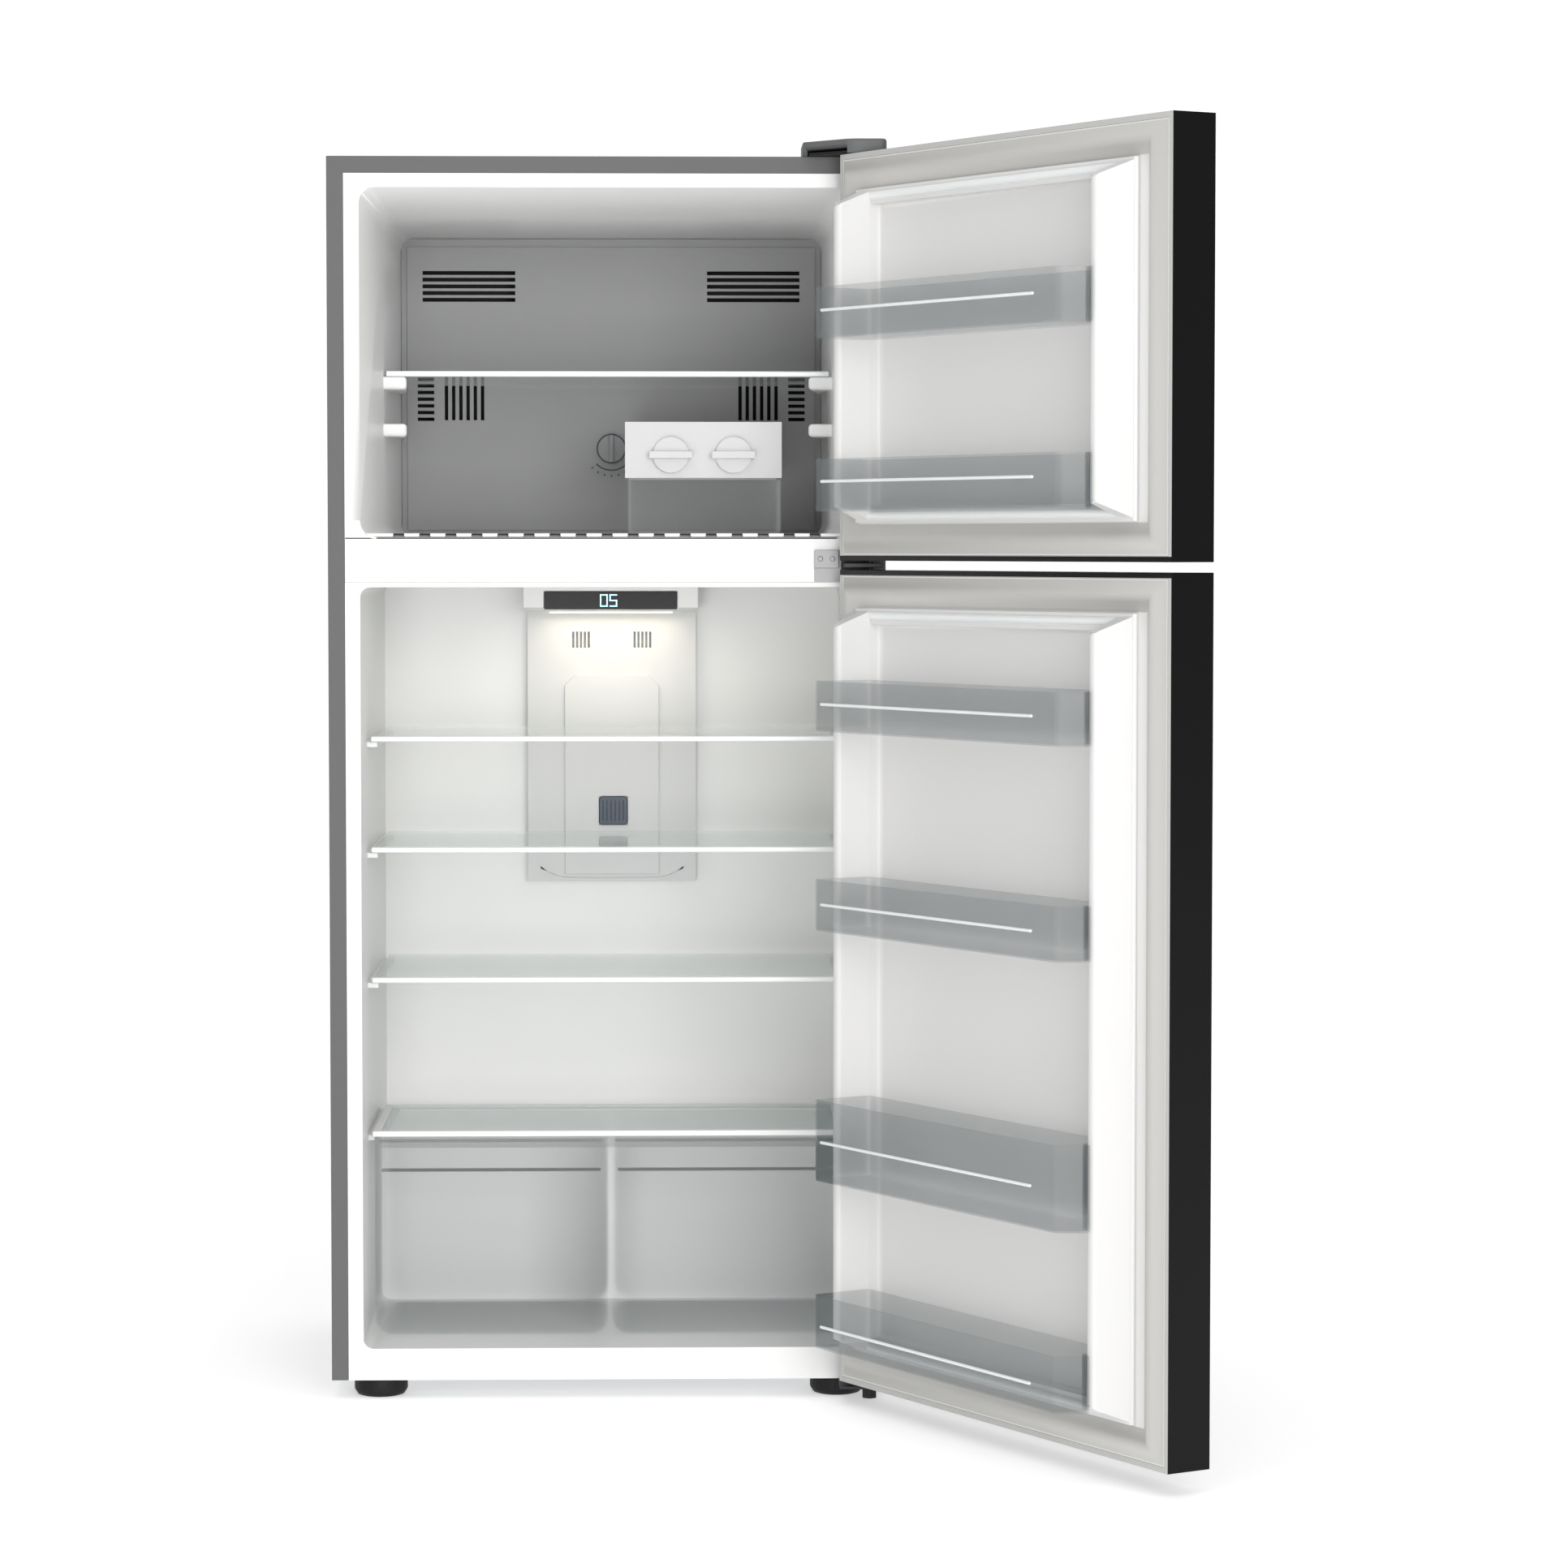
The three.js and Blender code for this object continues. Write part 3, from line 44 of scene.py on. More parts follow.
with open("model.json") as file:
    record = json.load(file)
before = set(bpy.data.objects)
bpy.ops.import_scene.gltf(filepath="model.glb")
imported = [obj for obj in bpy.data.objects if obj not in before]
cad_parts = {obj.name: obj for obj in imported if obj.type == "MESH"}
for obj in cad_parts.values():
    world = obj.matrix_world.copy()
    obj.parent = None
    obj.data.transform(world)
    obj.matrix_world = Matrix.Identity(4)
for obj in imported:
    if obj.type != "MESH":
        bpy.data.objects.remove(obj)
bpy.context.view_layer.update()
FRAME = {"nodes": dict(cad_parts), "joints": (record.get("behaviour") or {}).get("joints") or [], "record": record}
OPEN_ANGLE = math.radians(120)
Colour = tuple[float, float, float]
Point = Sequence[float]


# ---------------------------------------------------------------- finishes


def linear(channel: float) -> float:
    """One display channel, 0 to 1, as scene light."""
    return channel / 12.92 if channel <= 0.04045 else ((channel + 0.055) / 1.055) ** 2.4


def rgba(colour: Colour) -> tuple[float, float, float, float]:
    """A display colour as the shader wants it."""
    return (*(linear(c) for c in colour), 1.0)


def new_group(name: str, inputs: dict[str, str], outputs: dict[str, str]) -> bpy.types.NodeTree:
    """An empty shader node group.

    Args:
        name: the group's name.
        inputs: socket names and types.
        outputs: socket names and types.

    Returns:
        The group, with its input and output nodes.
    """
    tree = bpy.data.node_groups.new(name, "ShaderNodeTree")
    for side, sockets in (("INPUT", inputs), ("OUTPUT", outputs)):
        for label, kind in sockets.items():
            tree.interface.new_socket(label, in_out=side, socket_type=kind)
    tree.nodes.new("NodeGroupInput").name = "in"
    tree.nodes.new("NodeGroupOutput").name = "out"
    return tree


def placed_noise(tree: bpy.types.NodeTree, detail: float) -> tuple[bpy.types.Node, bpy.types.Node]:
    """A noise over object coordinates, with the node that stretches them."""
    coords = tree.nodes.new("ShaderNodeTexCoord")
    stretch = tree.nodes.new("ShaderNodeMapping")
    noise = tree.nodes.new("ShaderNodeTexNoise")
    noise.inputs["Detail"].default_value = detail
    tree.links.new(coords.outputs["Object"], stretch.inputs["Vector"])
    tree.links.new(stretch.outputs["Vector"], noise.inputs["Vector"])
    return stretch, noise


class Effects:
    """The effects that several finishes share, each built once as a node group."""

    def __init__(self) -> None:
        """Builds the groups."""
        self.tone = self._tone()
        self.grain = self._relief("fine_grain", 2.0)
        self.streaks = self._relief("upright_streaks", 4.0, 0.012)

    def _tone(self) -> bpy.types.NodeTree:
        """A slow drift in a colour, and the mask that drives it."""
        tree = new_group(
            "slow_tone",
            {"Colour": "NodeSocketColor", "Drift": "NodeSocketFloat", "Scale": "NodeSocketFloat"},
            {"Colour": "NodeSocketColor", "Mask": "NodeSocketFloat"},
        )
        _, noise = placed_noise(tree, 3.0)
        centre = tree.nodes.new("ShaderNodeMath")
        centre.operation = "SUBTRACT"
        centre.inputs[1].default_value = 0.5
        amount = tree.nodes.new("ShaderNodeMath")
        amount.operation = "MULTIPLY_ADD"
        amount.inputs[2].default_value = 1.0
        shade = tree.nodes.new("ShaderNodeVectorMath")
        shade.operation = "SCALE"
        source, sink = tree.nodes["in"], tree.nodes["out"]
        tree.links.new(source.outputs["Scale"], noise.inputs["Scale"])
        tree.links.new(noise.outputs["Fac"], centre.inputs[0])
        tree.links.new(centre.outputs[0], amount.inputs[0])
        tree.links.new(source.outputs["Drift"], amount.inputs[1])
        tree.links.new(source.outputs["Colour"], shade.inputs[0])
        tree.links.new(amount.outputs[0], shade.inputs["Scale"])
        tree.links.new(shade.outputs[0], sink.inputs["Colour"])
        tree.links.new(noise.outputs["Fac"], sink.inputs["Mask"])
        return tree

    def _relief(self, name: str, detail: float, upright: float = 1.0) -> bpy.types.NodeTree:
        """The fine pebble of moulded plastic or paint, or streaks as rolling leaves them.

        Args:
            name: the group's name.
            detail: how much fine noise lies on the coarse.
            upright: how fast it changes with height, against sideways.

        Returns:
            The group.
        """
        tree = new_group(name, {"Scale": "NodeSocketFloat"}, {"Height": "NodeSocketFloat"})
        stretch, noise = placed_noise(tree, detail)
        stretch.inputs["Scale"].default_value = (1.0, 1.0, upright)
        tree.links.new(tree.nodes["in"].outputs["Scale"], noise.inputs["Scale"])
        tree.links.new(noise.outputs["Fac"], tree.nodes["out"].inputs["Height"])
        return tree


class Texture(Enum):
    """The fine relief of a finish."""

    GRAIN = "grain"
    STREAKS = "streaks"


@dataclass(frozen=True)
class Finish:
    """An opaque surface: a colour with a slow drift, fine relief and a varying gloss."""

    slot: str
    colour: Colour
    roughness: float
    metallic: float = 0.0
    spread: float = 0.06
    drift: float = 0.05
    tone_scale: float = 3.0
    texture: Texture = Texture.GRAIN
    texture_scale: float = 900.0
    relief: float = 0.05
    coat: float = 0.0
    # Emission: real light on the lamp and the display digits, painted light on the clear drawers.
    glow_and_painted_light: float = 0.0
    specular: float = 0.5

    def material(self, effects: Effects) -> bpy.types.Material:
        """Builds the finish.

        Args:
            effects: the shared node groups.

        Returns:
            A new material.
        """
        material = bpy.data.materials.new(f"{self.slot}_finish")
        material.use_nodes = True
        tree = material.node_tree
        shader = tree.nodes["Principled BSDF"]
        shader.inputs["Metallic"].default_value = self.metallic
        shader.inputs["Specular IOR Level"].default_value = self.specular
        shader.inputs["Coat Weight"].default_value = self.coat
        shader.inputs["Coat Roughness"].default_value = 0.06
        tone = self._placed(tree, effects.tone, {"Drift": self.drift, "Scale": self.tone_scale})
        tone.inputs["Colour"].default_value = rgba(self.colour)
        tree.links.new(tone.outputs["Colour"], shader.inputs["Base Color"])
        gloss = tree.nodes.new("ShaderNodeMapRange")
        gloss.inputs["To Min"].default_value = max(0.02, self.roughness - self.spread)
        gloss.inputs["To Max"].default_value = self.roughness + self.spread
        tree.links.new(tone.outputs["Mask"], gloss.inputs["Value"])
        tree.links.new(gloss.outputs["Result"], shader.inputs["Roughness"])
        relief = self._placed(tree, getattr(effects, self.texture.value), {"Scale": self.texture_scale})
        bump = tree.nodes.new("ShaderNodeBump")
        bump.inputs["Strength"].default_value = self.relief
        bump.inputs["Distance"].default_value = 0.001
        tree.links.new(relief.outputs["Height"], bump.inputs["Height"])
        tree.links.new(bump.outputs["Normal"], shader.inputs["Normal"])
        if self.glow_and_painted_light:
            shader.inputs["Emission Color"].default_value = rgba(self.colour)
            shader.inputs["Emission Strength"].default_value = self.glow_and_painted_light
        self.finish_off(tree, shader)
        return material

    def finish_off(self, tree: bpy.types.NodeTree, shader: bpy.types.Node) -> None:
        """What a kind of finish adds; an opaque one adds nothing."""

    @staticmethod
    def _placed(
        tree: bpy.types.NodeTree, group: bpy.types.NodeTree, values: dict[str, float]
    ) -> bpy.types.Node:
        """A node group placed in a material with its own values."""
        node = tree.nodes.new("ShaderNodeGroup")
        node.node_tree = group
        for label, value in values.items():
            node.inputs[label].default_value = value
        return node


@dataclass(frozen=True)
class ClearFinish(Finish):
    """Clear plastic or glass: thin to look through, firmer where it is seen edge on."""

    face_on: float = 0.2
    edge_on: float = 0.85
    falloff: float = 0.25

    def finish_off(self, tree: bpy.types.NodeTree, shader: bpy.types.Node) -> None:
        """Sets how much shows through.

        Args:
            tree: the material's nodes.
            shader: its principled shader.
        """
        facing = tree.nodes.new("ShaderNodeLayerWeight")
        facing.inputs["Blend"].default_value = self.falloff
        cover = tree.nodes.new("ShaderNodeMapRange")
        cover.inputs["To Min"].default_value = self.face_on
        cover.inputs["To Max"].default_value = self.edge_on
        tree.links.new(facing.outputs["Facing"], cover.inputs["Value"])
        tree.links.new(cover.outputs["Result"], shader.inputs["Alpha"])


class Finishes(Enum):
    """Every finish on the refrigerator."""

    SHELL = Finish("shell", (0.42, 0.42, 0.422), 0.6, relief=0.05, specular=0.12)
    GALVANISED = Finish(
        "galvanised", (0.66, 0.67, 0.68), 0.42, metallic=0.85, drift=0.25, tone_scale=60.0
    )
    DARK_STEEL = Finish("dark_steel", (0.16, 0.16, 0.17), 0.42, metallic=0.6)
    FOAM = Finish("foam", (0.89, 0.85, 0.66), 0.95, drift=0.15, texture_scale=300.0, relief=0.5)
    WHITE = Finish("white", (0.93, 0.93, 0.93), 0.36, spread=0.08, drift=0.012, relief=0.03)
    MOULDING = Finish("white", (0.84, 0.84, 0.84), 0.4, spread=0.06, drift=0.012, relief=0.03)
    GREY = Finish("grey", (0.63, 0.63, 0.632), 0.5, drift=0.02, specular=0.3)
    LINER = Finish("white", (0.93, 0.93, 0.925), 0.34, spread=0.08, drift=0.015, relief=0.03)
    CLEAR = ClearFinish(
        "clear", (0.50, 0.53, 0.54), 0.08, spread=0.03, drift=0.03, relief=0.01,
        face_on=0.085, edge_on=0.42,
    )
    # The drawers' clear plastic glows: painted light that brightens the crispers and the ice bin.
    DRAWER = ClearFinish(
        "clear", (0.93, 0.95, 0.955), 0.08, spread=0.03, drift=0.0, relief=0.01, glow_and_painted_light=0.35,
        face_on=0.02, edge_on=0.2, falloff=0.12,
    )
    GLASS = ClearFinish(
        "glass", (0.85, 0.91, 0.90), 0.04, spread=0.02, drift=0.0, relief=0.004,
        face_on=0.07, edge_on=0.55,
    )
    GASKET = Finish("gasket", (0.75, 0.745, 0.732), 0.6, drift=0.03, relief=0.08, specular=0.3)
    DOOR = Finish(
        "door", (0.045, 0.045, 0.047), 0.24, metallic=0.0, spread=0.06, drift=0.1,
        texture=Texture.STREAKS, texture_scale=420.0, relief=0.06, specular=0.18,
    )
    DOOR_LINER = Finish(
        "door_liner", (0.87, 0.868, 0.865), 0.4, spread=0.08, drift=0.015, relief=0.03, specular=0.35
    )
    TRIM = Finish("gasket", (0.745, 0.745, 0.735), 0.5, drift=0.02, specular=0.3)
    MARK = Finish("grey", (0.33, 0.35, 0.42), 0.5, drift=0.02)
    BRACKET = Finish("galvanised", (0.63, 0.63, 0.635), 0.45, drift=0.02, metallic=0.2)
    DISPLAY = Finish("display", (0.06, 0.06, 0.063), 0.3, spread=0.03, drift=0.0, specular=0.2)
    LIT = Finish("display", (0.62, 0.86, 0.95), 0.4, drift=0.0, glow_and_painted_light=2.2)
    LAMP = Finish("lamp", (1.0, 0.95, 0.84), 0.3, drift=0.0, glow_and_painted_light=1.0)
    FILTER = Finish("filter", (0.13, 0.2, 0.28), 0.34, drift=0.05)
    BLACK = Finish("black_plastic", (0.07, 0.07, 0.07), 0.55, drift=0.08, relief=0.15, specular=0.3)
    COVER = Finish("hinge_cover", (0.38, 0.385, 0.39), 0.5, drift=0.05, relief=0.15)
    ALUMINIUM = Finish("aluminium", (0.6, 0.61, 0.62), 0.45, metallic=0.9, drift=0.04)
    RAIL = Finish("white", (0.93, 0.94, 0.94), 0.22, spread=0.04, drift=0.0, coat=0.4)


# ---------------------------------------------------------------- shaping


def new_verts(result: dict) -> list[bmesh.types.BMVert]:
    """The vertices that an extrusion has added."""
    return [item for item in result["geom"] if isinstance(item, bmesh.types.BMVert)]


class Shape:
    """A mesh that is shaped in steps with the modelling operators."""

    def __init__(self) -> None:
        """Starts empty."""
        self.bm = bmesh.new()

    @classmethod
    def block(cls, low: Point, high: Point) -> "Shape":
        """A box between two corners."""
        shape = cls()
        low, high = Vector(low), Vector(high)
        place = Matrix.Translation((low + high) / 2) @ Matrix.Diagonal((*(high - low), 1.0))
        bmesh.ops.create_cube(shape.bm, size=1.0, matrix=place)
        return shape

    @classmethod
    def cad(cls, node: str) -> "Shape":
        """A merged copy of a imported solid, its flat faces whole."""
        shape = cls()
        shape.bm.from_mesh(FRAME["nodes"][node].data)
        bmesh.ops.remove_doubles(shape.bm, verts=shape.bm.verts, dist=2e-5)
        shape.outward()
        bmesh.ops.dissolve_limit(
            shape.bm, angle_limit=math.radians(1), verts=shape.bm.verts, edges=shape.bm.edges
        )
        return shape

    @classmethod
    def rod(
        cls, start: Point, end: Point, radius: float, sides: int = 24, tip: float | None = None
    ) -> "Shape":
        """A cylinder, or a cone if tip is given.

        Args:
            start: the middle of its first end.
            end: the middle of its other end.
            radius: its radius at the start.
            sides: how many flats its round has.
            tip: its radius at the end.

        Returns:
            The closed shape.
        """
        shape = cls()
        start, end = Vector(start), Vector(end)
        run = end - start
        turn = run.to_track_quat("Z", "Y").to_matrix().to_4x4()
        bmesh.ops.create_cone(
            shape.bm, cap_ends=True, segments=sides, radius1=radius,
            radius2=radius if tip is None else tip, depth=run.length,
            matrix=Matrix.Translation((start + end) / 2) @ turn,
        )
        return shape

    @classmethod
    def plate(cls, points: Iterable[Point], pull: Vector) -> "Shape":
        """A flat outline, pulled into a solid.

        Args:
            points: the outline's corners.
            pull: the way it is pulled, with its length.

        Returns:
            The closed shape.
        """
        shape = cls()
        shape.bm.faces.new([shape.bm.verts.new(point) for point in points])
        pulled = bmesh.ops.extrude_face_region(shape.bm, geom=list(shape.bm.faces))
        bmesh.ops.translate(shape.bm, verts=new_verts(pulled), vec=pull)
        return shape.outward()

    @classmethod
    def turned(cls, centre: Point, profile: Sequence[tuple[float, float]], steps: int = 32) -> "Shape":
        """A profile of radius and height, spun about an upright axis."""
        shape = cls()
        centre = Vector(centre)
        verts, edges = shape.chain(centre + Vector((r, 0, h)) for r, h in profile)
        bmesh.ops.spin(
            shape.bm, geom=verts + edges, cent=centre, axis=(0, 0, 1), angle=math.tau,
            steps=steps, use_merge=True,
        )
        bmesh.ops.remove_doubles(shape.bm, verts=shape.bm.verts, dist=1e-6)
        return shape.outward()

    def chain(self, points: Iterable[Point]) -> tuple[list, list]:
        """Adds points joined by edges, and returns the new vertices and edges."""
        verts = [self.bm.verts.new(point) for point in points]
        return verts, [self.bm.edges.new(pair) for pair in zip(verts, verts[1:])]

    def outward(self) -> "Shape":
        """Turns every face outwards."""
        bmesh.ops.recalc_face_normals(self.bm, faces=self.bm.faces)
        return self

    def soften(
        self,
        radius: float,
        segments: int = 2,
        least: float = 25.0,
        where: Callable[[Vector, Vector], bool] | None = None,
    ) -> "Shape":
        """Rounds edges.

        Args:
            radius: how far the rounding reaches.
            segments: its steps.
            least: edges that turn less than this many degrees stay.
            where: which edges, from their middle and direction; all if it is left out.

        Returns:
            The same shape.
        """
        edges = []
        for edge in self.bm.edges:
            if len(edge.link_faces) != 2 or edge.calc_face_angle(0.0) < math.radians(least):
                continue
            a, b = (v.co for v in edge.verts)
            if where is None or where((a + b) / 2, (b - a).normalized()):
                edges.append(edge)
        if edges:
            bmesh.ops.bevel(
                self.bm, geom=edges, affect="EDGES", offset=radius, segments=segments,
                profile=0.5, material=-1, clamp_overlap=True,
            )
        return self

    def open(self, where: Callable[[Vector, Vector], bool]) -> "Shape":
        """Takes away the faces that a test of centre and normal picks."""
        gone = [f for f in self.bm.faces if where(f.calc_center_median(), f.normal)]
        bmesh.ops.delete(self.bm, geom=gone, context="FACES")
        return self

    def open_top(self, height: float) -> "Shape":
        """Takes away the faces that look up at a height."""
        return self.open(lambda mid, normal: normal.z > 0.9 and mid.z > height - 1e-4)

    def sliced(self, way: Vector, *distances: float) -> "Shape":
        """Cuts its faces along planes across a direction, and keeps all of them."""
        for distance in distances:
            geom = [*self.bm.verts, *self.bm.edges, *self.bm.faces]
            bmesh.ops.bisect_plane(self.bm, geom=geom, plane_co=way * distance, plane_no=way)
        return self

    def take(self, where: Callable[[Vector, Vector], bool]) -> "Shape":
        """Moves the faces that a test of centre and normal picks to a shape of their own."""
        taken = Shape()
        taken.bm = self.bm.copy()
        taken.bm.normal_update()
        taken.open(lambda mid, normal: not where(mid, normal))
        self.open(where)
        return taken

    def add(self, *others: "Shape") -> "Shape":
        """Joins other shapes to this one."""
        for other in others:
            held = bpy.data.meshes.new("held")
            other.bm.to_mesh(held)
            self.bm.from_mesh(held)
            other.bm.free()
            bpy.data.meshes.remove(held)
        return self

    def place(self, matrix: Matrix) -> "Shape":
        """Moves the whole."""
        bmesh.ops.transform(self.bm, matrix=matrix, verts=self.bm.verts)
        return self


@dataclass
class Workshop:
    """Turns shapes into named pieces with their finishes, each on its body."""

    effects: Effects = field(default_factory=Effects)
    made: dict[Finishes, bpy.types.Material] = field(default_factory=dict)

    def material(self, finish: Finishes) -> bpy.types.Material:
        """The finish's material, built when it is first asked for."""
        if finish not in self.made:
            self.made[finish] = finish.value.material(self.effects)
            self.made[finish].name = finish.name.lower()
        return self.made[finish]

    def piece(
        self,
        shape: Shape,
        name: str,
        body: str,
        finish: Finishes,
        replaces: Sequence[str] = (),
        wall: float = 0.0,
        rim: float = 0.0,
        sharp: float = 38.0,
    ) -> bpy.types.Object:
        """Makes a piece.

        Args:
            shape: its shape, in the frame.
            name: the piece's name.
            body: the body it moves with.
            finish: its finish.
            replaces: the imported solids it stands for.
            wall: how thick an open shell's wall is, inwards.
            rim: how far the wall's edges are rounded.
            sharp: edges that turn more than this many degrees stay crisp.

        Returns:
            The new object.
        """
        mesh = bpy.data.meshes.new(name)
        shape.bm.to_mesh(mesh)
        shape.bm.free()
        mesh.materials.append(self.material(finish))
        for polygon in mesh.polygons:
            polygon.use_smooth = True
        mesh.set_sharp_from_angle(angle=math.radians(sharp))
        made = bpy.data.objects.new(name, mesh)
        bpy.context.scene.collection.objects.link(made)
        if wall:
            shell = made.modifiers.new("wall", "SOLIDIFY")
            shell.thickness = wall
            shell.offset = -1.0
            shell.use_even_offset = True
        if rim:
            edge = made.modifiers.new("rim", "BEVEL")
            edge.width = rim
            edge.segments = 2
            edge.angle_limit = math.radians(60)
        made.modifiers.new("shading", "WEIGHTED_NORMAL").keep_sharp = True
        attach(made, body)
        if replaces:
            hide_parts(*replaces)
        log.info("%s on %s, %d faces", name, body, len(mesh.polygons))
        return made

    def stand_in(
        self, shape: Shape, node: str, finish: Finishes, **details: float
    ) -> bpy.types.Object:
        """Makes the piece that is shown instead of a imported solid.

        Args:
            shape: its shape, in the frame.
            node: the solid's name.
            finish: its finish.
            **details: its wall, rim and sharp, as piece() takes them.

        Returns:
            The new object.
        """
        return self.piece(shape, f"{node}_made", body_of(node), finish, [node], **details)

    def dress(self, node: str, finish: Finishes) -> None:
        """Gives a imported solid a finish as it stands.

        Args:
            node: the solid's name.
            finish: its finish.
        """
        solid = FRAME["nodes"][node]
        solid.data.materials.clear()
        solid.data.materials.append(self.material(finish))

    def refined(
        self, node: str, finish: Finishes, radius: float, segments: int = 2,
        extra: Sequence[Shape] = (),
    ) -> bpy.types.Object:
        """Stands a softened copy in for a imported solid.

        Args:
            node: the solid's name.
            finish: its finish.
            radius: how far its edges are rounded.
            segments: the rounding's steps.
            extra: further shapes that belong to it.

        Returns:
            The new object.
        """
        shape = Shape.cad(node).soften(radius, segments).add(*extra)
        return self.stand_in(shape, node, finish)


def body_of(node: str) -> str:
    """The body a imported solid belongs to."""
    groups = FRAME["record"]["behaviour"]["bodies"]
    return next(body for body, members in groups.items() if node in members)


def joint(name: str) -> dict:
    """A joint's entry in the record."""
    return next(entry for entry in FRAME["joints"] if entry["name"] == name)


SHELL_LOW, SHELL_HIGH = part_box("cabinet_shell")
CABINET = Matrix.Translation(((SHELL_LOW.x + SHELL_HIGH.x) / 2, SHELL_LOW.y, 0.0))
HALF = (SHELL_HIGH.x - SHELL_LOW.x) / 2
WALL = 0.0022


def across(node: str) -> tuple[Vector, Vector]:
    """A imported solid's box, from the middle of the cabinet's front foot line."""
    low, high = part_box(node)
    home = CABINET.translation
    return low - home, high - home


# ---------------------------------------------------------------- cabinet


@dataclass
class Body:
    """The cabinet's shell, back, base and foam."""

    shop: Workshop
    edge: float = 0.0014
    screw: float = 0.0042

    def build(self) -> None:
        """Makes the pieces."""
        self.shop.refined("cabinet_shell", Finishes.SHELL, self.edge, 3)
        self.shop.refined("back_panel", Finishes.GALVANISED, 0.001, extra=self.back_screws())
        self.shop.refined("base_plate", Finishes.GALVANISED, 0.0005)
        self.shop.dress("cabinet_foam", Finishes.FOAM)
        self.shop.refined("centre_mullion", Finishes.WHITE, 0.0006)
        self.shop.refined("machine_room_cover", Finishes.GALVANISED, 0.0006, extra=self.cover_screws())
        self.shop.refined("compressor", Finishes.DARK_STEEL, 0.004, 3)
        for node, radius in (("drain_pan", 0.001), ("power_inlet", 0.0008)):
            self.shop.refined(node, Finishes.BLACK, radius)

    def screws(self, places: Iterable[Point]) -> list[Shape]:
        """Domed screw heads on a face that looks backwards.

        Args:
            places: where they stand.

        Returns:
            One shape for each.
        """
        heads = []
        for place in places:
            seat = Vector(place)
            head = Shape.rod(seat, seat + Vector((0, 0.0022, 0)), self.screw, 14, self.screw * 0.72)
            heads.append(head.soften(0.0006, 2, 50))
        return heads

    def back_screws(self) -> list[Shape]:
        """Screws down both sides of the back and along its top."""
        low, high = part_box("back_panel")
        inset = 0.014
        rows = 6
        places = []
        for x in (low.x + inset, high.x - inset):
            for row in range(rows):
                z = low.z + inset + row * (high.z - low.z - 2 * inset) / (rows - 1)
                places.append((x, high.y, z))
        return self.screws(places)

    def cover_screws(self) -> list[Shape]:
        """Screws in the corners of the machine compartment's cover."""
        low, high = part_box("machine_room_cover")
        inset = 0.014
        sides, ends = (low.x + inset, high.x - inset), (low.z + inset, high.z - inset)
        return self.screws((x, high.y, z) for x in sides for z in ends)


@dataclass
class Footing:
    """The front feet and the rear rollers."""

    shop: Workshop
    grips: int = 30

    def build(self) -> None:
        """Makes the pieces."""
        for side in ("left", "right"):
            self.foot(side)
            self.shop.refined(f"rear_roller_{side}", Finishes.BLACK, 0.0012, 3)

    def foot(self, side: str) -> None:
        """One levelling foot, with finger grips round its pad."""
        node = f"levelling_foot_{side}"
        low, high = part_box(node)
        centre = Vector(((low.x + high.x) / 2, (low.y + high.y) / 2, 0))
        radius = (high.x - low.x) / 2
        pad = high.z - 0.0063
        profile = [
            (0, 0), (radius - 0.009, 0), (radius - 0.0045, 0.0014), (radius - 0.002, 0.005),
            (radius, 0.0085), (radius, pad - 0.004), (radius - 0.0012, pad - 0.0012),
            (radius - 0.004, pad), (0.0062, pad), (0.0062, high.z), (0, high.z),
        ]
        whole = Shape.turned(centre, profile, 48)
        for index in range(self.grips):
            turn = Matrix.Rotation(math.tau * index / self.grips, 4, "Z")
            out = centre + turn @ Vector((radius - 0.0012, 0, 0))
            rib = Shape.rod(out + Vector((0, 0, 0.0095)), out + Vector((0, 0, pad - 0.004)), 0.0014, 8)
            whole.add(rib)
        self.shop.stand_in(whole, node, Finishes.BLACK)


# ---------------------------------------------------------------- liners


